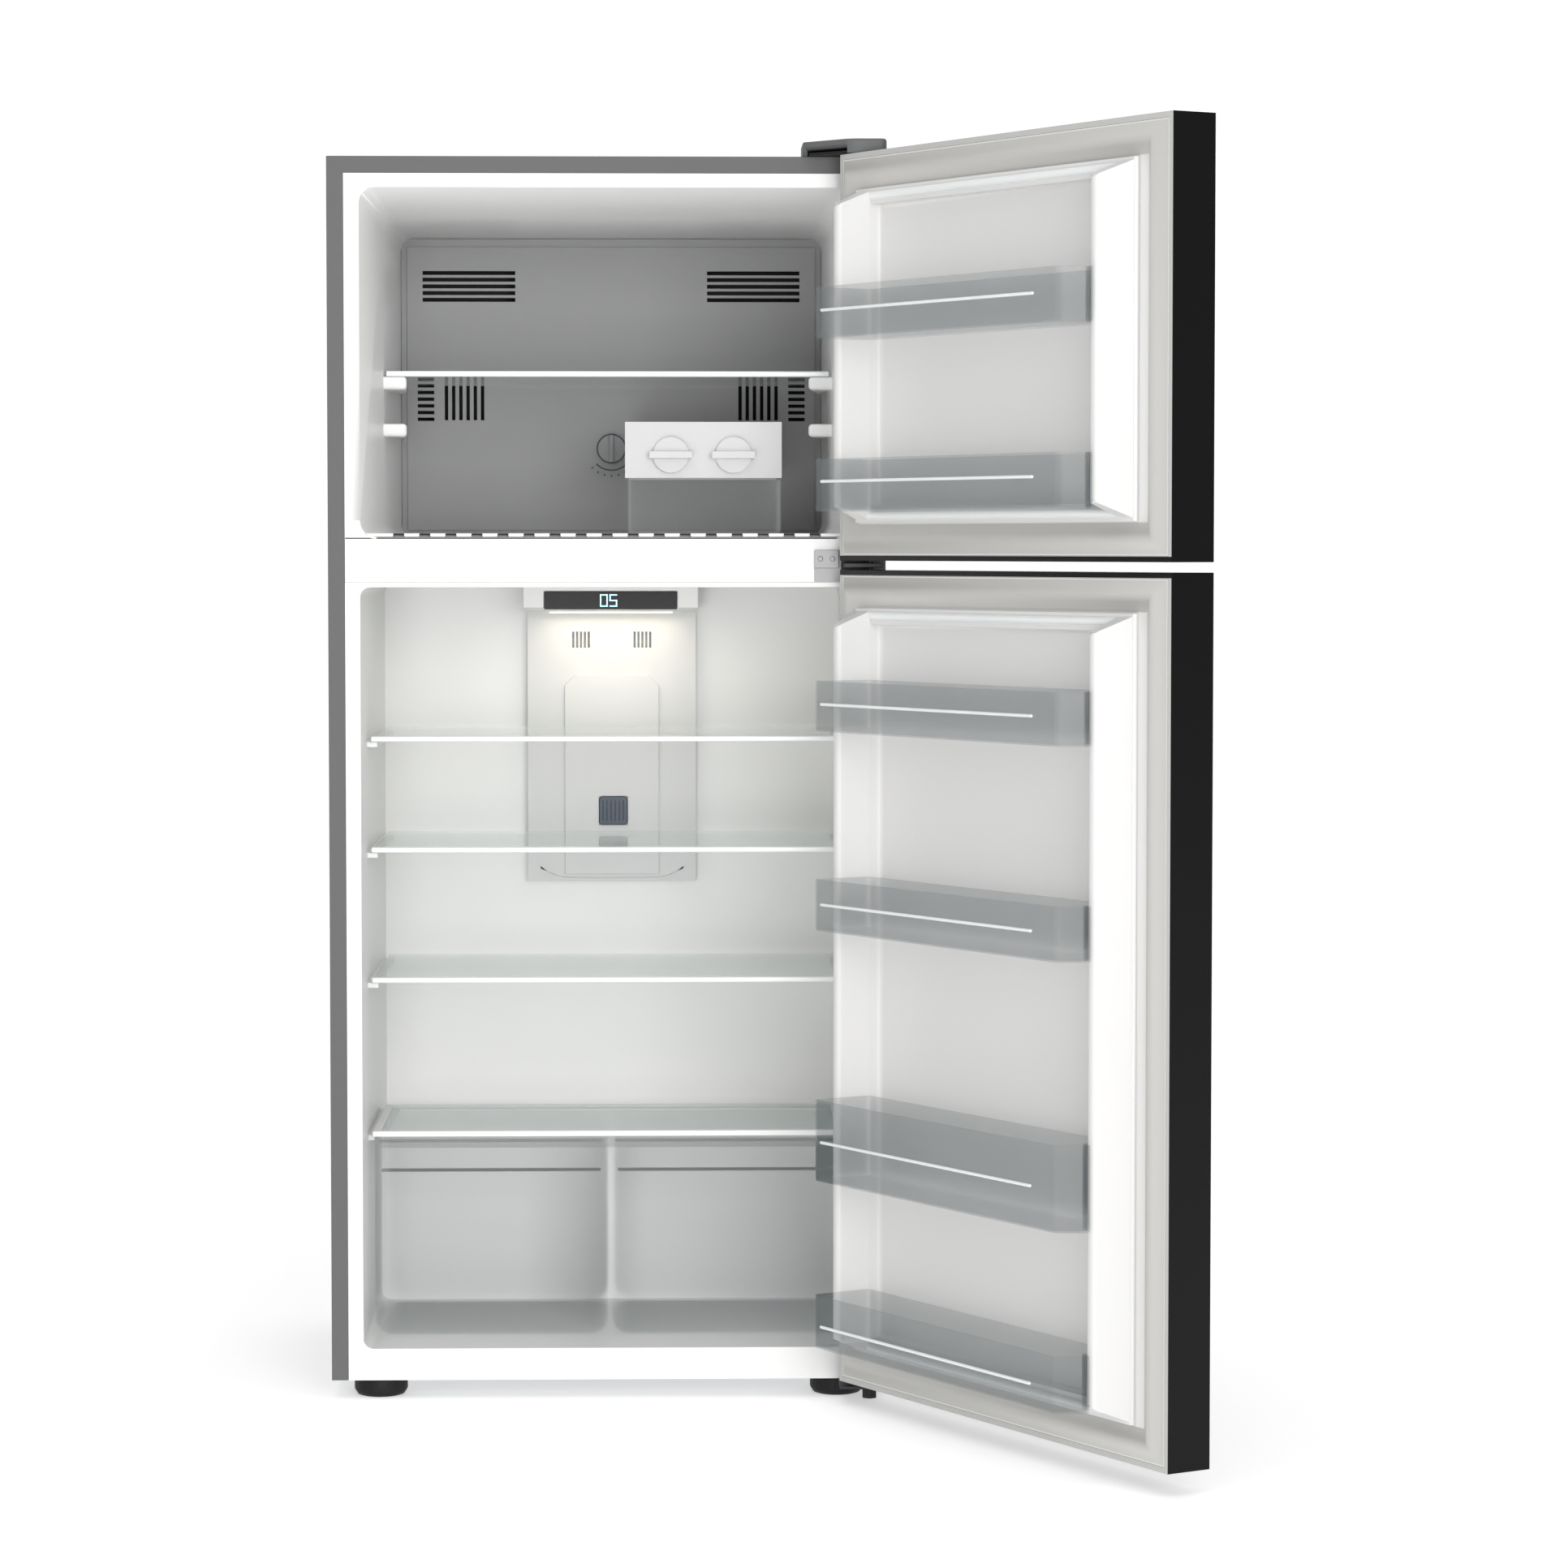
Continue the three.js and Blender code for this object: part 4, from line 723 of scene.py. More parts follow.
@dataclass
class FreezerLiner:
    """The freezer's moulded inside: a flange, a flared mouth, a straight throat and side ledges."""

    shop: Workshop
    corner: float = 0.022
    flare_depth: float = 0.1
    mouth_edge: float = 0.004
    side_border: float = 0.045
    top_border: float = 0.043
    ledge_heights: tuple[float, float] = (1.4407, 1.374)
    ledge_reach: float = 0.033
    ledge_tail: float = 0.009

    def build(self) -> None:
        """Makes the liner with its ledges; its back behind the rear panel is black, as painted shade."""
        low, high = across("freezer_liner")
        throat = across("freezer_rear_panel")[1].x + 0.0006
        ceiling = across("freezer_rear_panel")[1].z + 0.0006
        mouth = HALF - self.side_border
        floor = across("centre_mullion")[1].z + 0.0003
        top = SHELL_HIGH.z - self.top_border
        tub = self.tub(mouth, throat, floor, top, ceiling, high.y - 0.0025)
        self.flange(tub, mouth, floor, top, low, high)
        tub.soften(self.mouth_edge, 3, 60, lambda mid, way: mid.y < 1e-5 and abs(mid.x) < mouth + 1e-4)
        bmesh.ops.solidify(tub.outward().bm, geom=list(tub.bm.faces), thickness=-0.002)
        # The back of the tub, behind the rear panel, is shown black: painted shade, so the panel's vents look
        # dark.
        behind = tub.take(lambda mid, way: mid.y > high.y - 0.02)
        ledges = [self.ledge(side, height, throat) for side in (-1, 1) for height in self.ledge_heights]
        tub.add(*ledges).place(CABINET)
        self.shop.piece(behind.place(CABINET), "freezer_liner_back", "cabinet", Finishes.BLACK)
        self.shop.stand_in(tub, "freezer_liner", Finishes.LINER)

    def tub(
        self, mouth: float, throat: float, floor: float, top: float, ceiling: float, back: float
    ) -> Shape:
        """The inside surface, from the mouth to the back.

        Args:
            mouth: half the mouth's width.
            throat: half the throat's width.
            floor: the floor's height.
            top: the mouth's upper edge.
            ceiling: the throat's ceiling.
            back: the back's depth.

        Returns:
            The open tub.
        """
        corners = [(-mouth, 0, floor), (mouth, 0, floor), (mouth, 0, top), (-mouth, 0, top)]
        shape = Shape()
        bm = shape.bm
        bm.faces.new([bm.verts.new(point) for point in corners])
        bmesh.ops.bevel(
            bm, geom=list(bm.verts), affect="VERTICES", offset=self.corner, segments=6,
            profile=0.5, material=-1,
        )
        base = Matrix.Translation((0, 0, floor))
        squeeze = Matrix.Diagonal((throat / mouth, 1, (ceiling - floor) / (top - floor), 1))
        for run, change in ((self.flare_depth, squeeze), (back - self.flare_depth, Matrix.Identity(4))):
            bm.faces.ensure_lookup_table()
            deepest = max(bm.faces, key=lambda f: f.calc_center_median().y)
            pulled = bmesh.ops.extrude_face_region(bm, geom=[deepest])
            shift = Matrix.Translation((0, run, 0)) @ base @ change @ base.inverted()
            bmesh.ops.transform(bm, matrix=shift, verts=new_verts(pulled))
            if deepest.is_valid:
                bmesh.ops.delete(bm, geom=[deepest], context="FACES_ONLY")
        shape.soften(0.015, 4, 60, lambda mid, way: mid.y > back - 1e-5)
        return shape

    def flange(
        self, shape: Shape, mouth: float, floor: float, top: float, low: Vector, high: Vector
    ) -> None:
        """Runs the mouth's edge out to the square border of the flange.

        Args:
            shape: the tub.
            mouth: half the mouth's width.
            floor: the floor's height.
            top: the mouth's upper edge.
            low: the flange's lower left corner.
            high: its upper right corner.
        """
        bm = shape.bm
        rim = [e for e in bm.edges if e.is_boundary]
        pulled = bmesh.ops.extrude_edge_only(bm, edges=rim)
        for vert in new_verts(pulled):
            side, end = mouth - abs(vert.co.x), min(top - vert.co.z, vert.co.z - floor)
            to_side = side <= end + 1e-6
            to_end = end <= side + 1e-6
            if to_side:
                vert.co.x = low.x if vert.co.x < 0 else high.x
            if to_end:
                vert.co.z = high.z if vert.co.z > (floor + top) / 2 else low.z

    def ledge(self, side: int, height: float, throat: float) -> Shape:
        """One ledge on a side wall, its front end rounded.

        Args:
            side: 1 on the right, -1 on the left.
            height: its top.
            throat: half the throat's width.

        Returns:
            The closed shape.
        """
        front, back = self.flare_depth + 0.008, across("freezer_rear_panel")[0].y - 0.009
        profile = [
            (side * (throat + 0.001), front, height),
            (side * (throat + 0.001), front + 0.006, height - 0.018),
            (side * (throat + 0.001), back, height - 0.011),
            (side * (throat + 0.001), back, height),
        ]
        shape = Shape.plate(profile, Vector((-side * (self.ledge_reach + 0.001), 0, 0)))
        for vert in shape.bm.verts:
            if vert.co.y > back - 1e-4 and abs(vert.co.x) < throat:
                vert.co.x = side * (throat - self.ledge_tail)
        shape.soften(0.005, 4, 40, lambda mid, way: abs(mid.x) < throat - self.ledge_tail - 0.001)
        return shape.soften(0.003, 3, 40, lambda mid, way: mid.y < front + 0.01 and abs(way.x) > 0.9)


@dataclass
class FreshFoodLiner:
    """The fresh food compartment's inside, with its shelf rails and a rounded mouth."""

    shop: Workshop
    mouth_edge: float = 0.004
    side_border: float = 0.044

    def build(self) -> None:
        """Makes the liner."""
        low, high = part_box("fridge_liner")
        mouth = HALF - self.side_border
        middle = CABINET.translation.x
        shape = Shape.cad("fridge_liner")
        shape.soften(
            self.mouth_edge, 3, 60,
            lambda mid, way: abs(mid.y - low.y) < 1e-4 and abs(mid.x - middle) < mouth
            and low.z + 0.02 < mid.z < high.z - 0.004,
        )
        shape.soften(0.0012, 2, 40, lambda mid, way: mid.y > low.y + 0.1)
        self.shop.stand_in(shape, "fridge_liner", Finishes.LINER)


# ---------------------------------------------------------------- freezer fittings


@dataclass
class FreezerFittings:
    """Floor plate, rear panel, dial, cooling parts and the twist ice maker."""

    shop: Workshop
    ticks: int = 7
    grips: int = 40
    line: float = 0.001
    slots: int = 17
    slot_pitch: float = 0.0364
    slot_size: tuple[float, float, float] = (0.0142, 0.008, 0.0030)

    def build(self) -> None:
        """Makes the pieces."""
        self.shop.refined("freezer_floor_plate", Finishes.LINER, 0.0012)
        self.floor_slot_painted_shade()
        self.shop.refined("freezer_rear_panel", Finishes.GREY, 0.0009)
        self.dial()
        self.shop.dress("evaporator", Finishes.ALUMINIUM)
        self.shop.refined("fan_rotor", Finishes.BLACK, 0.0006)
        self.shop.refined("fan_motor", Finishes.DARK_STEEL, 0.001)
        self.shop.refined("ice_maker_frame", Finishes.MOULDING, 0.002, 3)
        for side in ("left", "right"):
            self.shop.refined(f"ice_tray_{side}", Finishes.MOULDING, 0.0012, 3)
        self.ice_bin()

    def floor_slot_painted_shade(self) -> None:
        """Black blocks inside the air slots along the floor plate's front edge: painted shade for their dark
        insides.
        """
        low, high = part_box("freezer_floor_plate")
        middle = CABINET.translation.x
        wide, deep, tall = self.slot_size
        # Black blocks fill each slot: painted shade, not a part of the plate.
        slots = Shape()
        for index in range(self.slots):
            x = middle + (index - (self.slots - 1) / 2) * self.slot_pitch
            foot = Vector((x - wide / 2, low.y + 0.0015, high.z - 0.0002 - tall))
            slots.add(Shape.block(foot, foot + Vector((wide, deep, tall))))
        self.shop.piece(slots, "freezer_floor_slots", "cabinet", Finishes.BLACK)

    def dial_middle(self) -> tuple[Vector, float, float]:
        """The dial's middle on the panel's front, its radius and its front's depth."""
        low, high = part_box("airflow_dial")
        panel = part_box("freezer_rear_panel")[0].y
        middle = (low + high) / 2
        return Vector((middle.x, panel, middle.z)), (high.x - low.x) / 2, low.y

    def arc(self, centre: Vector, radius: float, start: float, end: float, steps: int) -> Shape:
        """A thin printed-looking line along part of a circle that faces forwards.

        Args:
            centre: the circle's middle.
            radius: the circle's radius.
            start: the angle where it starts, from the top and clockwise.
            end: the angle where it ends.
            steps: how many straight runs it has.

        Returns:
            The line.
        """
        line = Shape()
        angles = [start + (end - start) * index / steps for index in range(steps + 1)]
        points = [centre + radius * Vector((math.sin(a), 0, math.cos(a))) for a in angles]
        for first, second in zip(points, points[1:]):
            line.add(Shape.rod(first, second, self.line, 8))
        return line

    def dial(self) -> None:
        """The airflow dial: a ribbed disc with a grip bar."""
        centre, radius, front = self.dial_middle()
        low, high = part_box("airflow_dial")
        face = front + 0.008
        middle = Vector((centre.x, face, centre.z))
        disc = Shape.rod(middle, middle + Vector((0, 0.007, 0)), radius - 0.0007, 64)
        disc.soften(0.0014, 3, 50)
        ring = self.arc(middle, radius - 0.0022, 0, math.tau, self.grips)
        self.shop.piece(ring, "airflow_dial_ring", "airflow_dial", Finishes.MARK)
        grip = Shape.block(
            (centre.x - 0.0035, front, centre.z - radius + 0.003),
            (centre.x + 0.0035, face + 0.001, centre.z + radius - 0.003),
        ).soften(0.0016, 3)
        under = centre - Vector((0, 0.0004, 0))
        scale = self.arc(under, radius + 0.009, math.radians(135), math.radians(225), 12)
        for angle in (math.radians(135 + 15 * index) for index in range(self.ticks)):
            out = Vector((math.sin(angle), 0, math.cos(angle)))
            inner, outer = under + out * (radius + 0.016), under + out * (radius + 0.019)
            scale.add(Shape.rod(inner, outer, self.line, 8))
        self.shop.piece(scale, "airflow_scale", "cabinet", Finishes.MARK)
        spindle = Shape.rod((centre.x, face + 0.006, centre.z), (centre.x, high.y, centre.z), 0.004)
        self.shop.stand_in(disc.add(grip, spindle), "airflow_dial", Finishes.GREY)

    def ice_bin(self) -> None:
        """The clear bin under the ice maker."""
        low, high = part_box("ice_bin")
        shape = Shape.block(low, high)
        shape.soften(0.010, 5, 40, lambda mid, way: abs(way.z) > 0.9)
        shape.soften(0.006, 4, 40, lambda mid, way: mid.z < low.z + 1e-4)
        shape.open_top(high.z)
        self.shop.stand_in(shape, "ice_bin", Finishes.DRAWER, wall=WALL, rim=0.0006)


# ---------------------------------------------------------------- shelves and crispers


@dataclass
class Shelves:
    """The glass shelves with their moulded trims, and the crispers' cover."""

    shop: Workshop
    lip: float = 0.0022

    def build(self) -> None:
        """Makes the pieces."""
        for name in ("freezer_shelf", "upper_shelf", "middle_shelf", "lower_shelf"):
            self.pane(f"{name}_glass")
            self.trim(name)
        self.shop.refined("crisper_cover_frame", Finishes.WHITE, 0.0012, 3)
        self.pane("crisper_cover_glass")

    def pane(self, node: str) -> None:
        """One pane with ground edges."""
        low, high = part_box(node)
        pane = Shape.block(low, high).soften(0.0006, 2)
        self.shop.stand_in(pane, node, Finishes.GLASS)

    def trim(self, name: str) -> None:
        """A shelf's front trim: a bar with a round nose, grooved for the pane."""
        node = f"{name}_trim"
        low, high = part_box(node)
        pane_low, pane_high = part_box(f"{name}_glass")
        gap = 0.0003
        top, bottom = pane_high.z + gap, pane_low.z - gap
        seat = pane_low.y - gap
        profile = [
            (low.x, low.y, low.z), (low.x, high.y, low.z), (low.x, high.y, bottom),
            (low.x, seat, bottom), (low.x, seat, top), (low.x, high.y, top),
            (low.x, high.y, high.z), (low.x, low.y, high.z),
        ]
        bar = Shape.plate(profile, Vector((high.x - low.x, 0, 0)))
        bar.soften(self.lip, 4, 40, lambda mid, way: mid.y < low.y + 1e-4 and abs(way.x) > 0.9)
        bar.soften(0.0005, 2, 60)
        self.shop.stand_in(bar, node, Finishes.RAIL)


@dataclass
class Crispers:
    """The two clear drawers."""

    shop: Workshop
    belly: float = 0.024
    upright: float = 0.008
    ledge_drop: float = 0.048

    def build(self) -> None:
        """Makes both drawers."""
        for side in ("left", "right"):
            self.drawer(side)

    def drawer(self, side: str) -> None:
        """One drawer: a tub with a round belly, a folded rim and a finger ledge.

        Args:
            side: which of the two.
        """
        node = f"crisper_{side}"
        low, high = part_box(node)
        tub = Shape.block(low, high)
        tub.soften(self.belly, 6, 40, lambda mid, way: abs(way.y) > 0.9 and mid.z < low.z + 1e-4)
        tub.soften(self.upright, 4, 60, lambda mid, way: mid.z < high.z - 1e-4)
        tub.open_top(high.z)
        self.shop.stand_in(tub, node, Finishes.DRAWER, wall=0.0026, rim=0.0008)
        inside = low.y + 0.0030
        ledge = Shape.block(
            (low.x + 0.010, inside, high.z - self.ledge_drop),
            (high.x - 0.010, low.y + 0.017, high.z - self.ledge_drop + 0.0035),
        ).soften(0.0012, 3)
        inner = Shape.block(
            (low.x + 0.006, inside, high.z - 0.006), (high.x - 0.006, low.y + 0.006, high.z - 0.001)
        ).soften(0.001, 2)
        self.shop.piece(ledge.add(inner), f"{node}_ledge", body_of(node), Finishes.DRAWER)


# ---------------------------------------------------------------- duct, display and lamp


@dataclass
class AirDuct:
    """The duct up the back wall, with the display, the lamp and the odour filter."""

    shop: Workshop
    digit_height: float = 0.0165
    digit_width: float = 0.0095
    digit_gap: float = 0.0045
    stroke: float = 0.0017
    smile_reach: float = 0.108
    smile_dip: float = 0.004
    smile_rise: float = 0.018
    duct_depth: float = 0.0265

    def build(self) -> None:
        """Makes the pieces."""
        self.shop.refined("duct_panel", Finishes.MOULDING, 0.0014, 3, extra=[self.smile()])
        self.shop.refined("odour_filter", Finishes.FILTER, 0.0012, 3, extra=self.filter_bars())
        self.shop.refined("display_housing", Finishes.LINER, 0.002, 3)
        self.shop.refined("display_window", Finishes.DISPLAY, 0.0005)
        self.shop.refined("lamp_cover", Finishes.LAMP, 0.001)
        self.digits()

    def smile(self) -> Shape:
        """The raised curve across the duct's foot."""
        low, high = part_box("duct_panel")
        middle = (low.x + high.x) / 2
        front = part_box("fridge_liner")[1].y - self.duct_depth
        curve = []
        steps = 24
        for index in range(steps + 1):
            t = index / steps * 2 - 1
            height = low.z + self.smile_dip + self.smile_rise * t**6
            curve.append(Vector((middle + self.smile_reach * t, front, height)))
        shape = Shape()
        _, edges = shape.chain(curve)
        for step in (Vector((0, 0, -0.003)), Vector((0, -0.003, 0)), Vector((0, 0, 0.003))):
            pulled = bmesh.ops.extrude_edge_only(shape.bm, edges=edges)
            moved = new_verts(pulled)
            bmesh.ops.translate(shape.bm, verts=moved, vec=step)
            edges = [item for item in pulled["geom"] if isinstance(item, bmesh.types.BMEdge)]
            edges = [e for e in edges if all(v in moved for v in e.verts)]
        bmesh.ops.holes_fill(shape.bm, edges=shape.bm.edges)
        return shape.outward()

    def filter_bars(self) -> list[Shape]:
        """Upright bars across the filter's face."""
        low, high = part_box("odour_filter")
        half_wide, half_deep, inset = 0.0009, 0.0008, 0.006
        bars = []
        count = 6
        for index in range(count):
            x = low.x + (high.x - low.x) * (index + 1) / (count + 1)
            foot = (x - half_wide, low.y - half_deep, low.z + inset)
            head = (x + half_wide, low.y + half_deep, high.z - inset)
            bars.append(Shape.block(foot, head).soften(0.0005, 2))
        return bars

    def digits(self) -> None:
        """The two lit digits of the temperature display."""
        low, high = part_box("display_window")
        middle = (low.x + high.x) / 2 - 0.003
        bottom = (low.z + high.z) / 2 - self.digit_height / 2
        lit = {0: "abcdef", 5: "acdfg"}
        lights = Shape()
        for index, value in enumerate((0, 5)):
            pitch = self.digit_width + self.digit_gap
            left = middle - self.digit_width - self.digit_gap / 2 + index * pitch
            for bar in lit[value]:
                lights.add(self.stroke_at(bar, left, bottom, low.y))
        self.shop.piece(lights, "display_digits", "cabinet", Finishes.LIT)

    def stroke_at(self, bar: str, left: float, bottom: float, face: float) -> Shape:
        """One of a digit's seven strokes.

        Args:
            bar: its letter, a at the top and on round clockwise, g in the middle.
            left: the digit's left side.
            bottom: its foot.
            face: the window's front.

        Returns:
            The stroke as a thin raised bar.
        """
        wide, tall, half = self.digit_width, self.digit_height, self.stroke / 2
        ends = {
            "a": ((0, tall), (wide, tall)), "b": ((wide, tall / 2), (wide, tall)),
            "c": ((wide, 0), (wide, tall / 2)), "d": ((0, 0), (wide, 0)),
            "e": ((0, 0), (0, tall / 2)), "f": ((0, tall / 2), (0, tall)),
            "g": ((0, tall / 2), (wide, tall / 2)),
        }
        (x0, z0), (x1, z1) = ends[bar]
        low = (left + x0 - half, face - 0.0004, bottom + z0 - half)
        high = (left + x1 + half, face - 0.00005, bottom + z1 + half)
        return Shape.block(low, high)


# ---------------------------------------------------------------- doors


@dataclass
class Bin:
    """One clear door bin: where it stands on its door and where its rail runs."""

    node: str
    rail: float


@dataclass
class Door:
    """A door: shell, liner, foam, gasket and bins, shaped in the axes of the closed door."""

    shop: Workshop
    name: str
    bins: Sequence[Bin]
    cap_at_top: bool
    rim: float = 0.007
    foot: tuple[float, float] = (0.010, 0.050)
    crest: float = 0.060
    slant: float = 0.025
    wing: float = 0.022
    rail_ends: tuple[float, float] = (0.114, 0.621)
    rail_radius: float = 0.0022
    plateau_out: float = 0.008
    recess: float = 0.010
    bead_inset: float = 0.062
    bead_ends: tuple[float, float] = (0.082, 0.699)
    bead_out: float = 0.008
    bead_radius: float = 0.0054

    def __post_init__(self) -> None:
        """Finds the door's place from its hinge."""
        pin = Vector(joint(f"{self.name}_door_hinge")["pos_m"])
        self.home = Matrix.Translation((pin.x, pin.y, 0)) @ Matrix.Rotation(OPEN_ANGLE, 4, "Z")
        low, high = self.local_box(f"{self.name}_door_shell")
        self.edge, self.free, self.face = high.x, low.x, high.y
        self.low, self.high = low.z, high.z
        self.body = f"{self.name}_door"

    def local_box(self, node: str) -> tuple[Vector, Vector]:
        """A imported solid's box in the closed door's axes."""
        back = self.home.inverted()
        points = [back @ vert.co for vert in FRAME["nodes"][node].data.vertices]
        low = Vector(min(p[i] for p in points) for i in range(3))
        high = Vector(max(p[i] for p in points) for i in range(3))
        return low, high

    def at(self, along: float, out: float, height: float) -> Vector:
        """A point from its distances to the hinge edge and the inner face, and its height."""
        return Vector((self.edge - along, self.face + out, height))

    def corner(self, side: int, end: int, inset: float, rise: float) -> Vector:
        """A point on a corner's mitre.

        Args:
            side: 1 at the hinge, -1 at the free edge, 0 in the middle.
            end: 1 at the top, -1 at the bottom, 0 in the middle.
            inset: its distance in from the door's edges.
            rise: its height off the inner face.

        Returns:
            The point, in the closed door's axes.
        """
        middle = Vector(((self.edge + self.free) / 2, self.face + rise, (self.low + self.high) / 2))
        reach = Vector(((self.edge - self.free) / 2 - inset, 0, (self.high - self.low) / 2 - inset))
        return middle + Vector((side * reach.x, 0, end * reach.z))

    def capped(self, height: float) -> bool:
        """Whether a height is on the dark end cap that faces the other door."""
        if self.cap_at_top:
            return height > self.high - self.rim
        return height < self.low + self.rim

    def build(self) -> None:
        """Makes the door's pieces."""
        name = self.name
        shell = Shape.cad(f"{name}_door_shell").soften(0.0012, 2).place(self.home.inverted())
        shell.sliced(Vector((0, 0, 1)), self.low + self.rim, self.high - self.rim)
        rim = shell.take(
            lambda mid, way: way.y > 0.9 and mid.y > self.face - 1e-4 and not self.capped(mid.z)
        )
        self.shop.stand_in(shell.place(self.home), f"{name}_door_shell", Finishes.DOOR)
        self.shop.piece(rim.place(self.home), f"{name}_door_rim", self.body, Finishes.TRIM)
        self.shop.dress(f"{name}_door_foam", Finishes.FOAM)
        self.liner()
        self.gasket()
        for item in self.bins:
            self.bin(item)

    def liner(self) -> None:
        """The moulded liner, with round dykes, a rimmed plateau and a sunk middle."""
        node = f"{self.name}_door_liner"
        shape = Shape.cad(node).place(self.home.inverted())
        top = self.local_box(node)[1].y
        plateau = self.face + self.plateau_out
        sunk = self.face - self.recess
        shape.soften(0.006, 4, 15, lambda mid, way: mid.y > top - 1e-4)
        shape.soften(0.007, 4, 40, lambda mid, way: abs(mid.y - sunk) < 1e-4)
        beads = (self.low + self.bead_inset, self.high - self.bead_inset)
        shape.soften(
            0.0025, 3, 15,
            lambda mid, way: abs(mid.y - plateau) < 1e-4 and all(abs(mid.z - z) > 0.0072 for z in beads),
        )
        self.shop.stand_in(shape.place(self.home), node, Finishes.DOOR_LINER)
        ribs = Shape()
        for height in beads:
            ends = [self.at(along, self.bead_out, height) for along in self.bead_ends]
            ribs.add(Shape.rod(*ends, self.bead_radius, 20).soften(self.bead_radius * 0.9, 4, 60))
        self.shop.piece(ribs.place(self.home), f"{self.name}_door_ribs", self.body, Finishes.RAIL)

    def gasket(self) -> None:
        """The magnetic seal: a soft hump with thin lips, running round the door."""
        near, far = self.foot
        middle = (near + far) / 2
        profile = [
            (near, 0.0003), (near + 0.004, 0.0018), (near + 0.009, 0.0046),
            (near + 0.013, 0.0078), (middle - 0.0035, 0.0099), (middle, 0.0103),
            (middle + 0.0035, 0.0099), (far - 0.013, 0.0078), (far - 0.009, 0.0046),
            (far - 0.004, 0.0018), (far, 0.0003),
        ]
        shape = Shape()
        bm = shape.bm
        corners = [(-1, -1), (1, -1), (1, 1), (-1, 1)]
        verts = [bm.verts.new(self.corner(side, end, *profile[0])) for side, end in corners]
        edges = [bm.edges.new((verts[i], verts[(i + 1) % 4])) for i in range(4)]
        centre = self.corner(0, 0, 0, 0)
        for inset, rise in profile[1:] + profile[:1]:
            pulled = bmesh.ops.extrude_edge_only(bm, edges=edges)
            for vert in new_verts(pulled):
                side = 1 if vert.co.x > centre.x else -1
                end = 1 if vert.co.z > centre.z else -1
                vert.co = self.corner(side, end, inset, rise)
            edges = [item for item in pulled["geom"] if isinstance(item, bmesh.types.BMEdge)]
        bmesh.ops.remove_doubles(bm, verts=bm.verts, dist=1e-6)
        shape.outward().place(self.home)
        self.shop.stand_in(shape, f"{self.name}_door_gasket", Finishes.GASKET, sharp=50)

    def bin(self, item: Bin) -> None:
        """One bin: a tub with a wing over the free dyke, and a rail on its front.

        Args:
            item: which bin, and how high its rail runs.
        """
        low, high = self.local_box(item.node)
        hinge, wing = self.edge - high.x, self.edge - low.x
        back, front = low.y - self.face, high.y - self.face
        body_end = wing - self.wing
        outline = [
            (hinge, back), (hinge, front), (wing - self.slant, front), (wing, self.crest),
            (body_end, self.crest), (body_end, back),
        ]
        points = [self.at(along, out, low.z) for along, out in outline]
        tub = Shape.plate(points, Vector((0, 0, high.z - low.z)))
        tub.soften(0.007, 4, 20, lambda mid, way: abs(way.z) > 0.9)
        tub.soften(0.005, 4, 40, lambda mid, way: mid.z < low.z + 1e-4)
        tub.open_top(high.z)
        self.shop.stand_in(tub.place(self.home), item.node, Finishes.CLEAR, wall=WALL, rim=0.0007)
        out = front + self.rail_radius * 0.6
        start, end = (self.at(along, out, item.rail) for along in self.rail_ends)
        rail = Shape.rod(start, end, self.rail_radius, 16).soften(self.rail_radius * 0.9, 4, 60)
        rail.place(self.home)
        self.shop.piece(rail, f"{item.node}_rail", body_of(item.node), Finishes.RAIL)


@dataclass
class Hinges:
    """The three hinges and the top one's cover."""

    shop: Workshop
    screw_rise: float = 0.032
    screw_offsets: tuple[float, float] = (0.008, 0.025)
    bracket_out: float = 0.008
    arm_inset: float = 0.063

    def build(self) -> None:
        """Makes the pieces."""
        for node in ("top_hinge", "bottom_hinge"):
            self.shop.refined(node, Finishes.DARK_STEEL, 0.0006, 2)
        self.middle()
        cover = Shape.cad("top_hinge_cover")
        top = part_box("top_hinge_cover")[1].z
        cover.soften(0.0035, 4, 30, lambda mid, way: mid.z > top - 1e-4)
        self.shop.stand_in(cover, "top_hinge_cover", Finishes.COVER)

    def middle(self) -> None:
        """The middle hinge: a dark arm, and the pale bracket that two screws hold to the mullion."""
        node = "middle_hinge"
        arm = Shape.cad(node).soften(0.0006, 2)
        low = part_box(node)[0]
        arm_start = CABINET.translation.x + HALF - self.arm_inset
        bracket = arm.sliced(Vector((1, 0, 0)), arm_start).take(lambda mid, way: mid.x < arm_start)
        front = CABINET.translation.y - self.bracket_out
        for offset in self.screw_offsets:
            seat = Vector((low.x + offset, front, low.z + self.screw_rise))
            screw = Shape.rod(seat, seat - Vector((0, 0.0018, 0)), 0.0042, 16, 0.003)
            bracket.add(screw.soften(0.0005, 2, 50))
        self.shop.stand_in(arm, node, Finishes.DARK_STEEL)
        self.shop.piece(bracket, f"{node}_bracket", "cabinet", Finishes.BRACKET)


# ---------------------------------------------------------------- studio


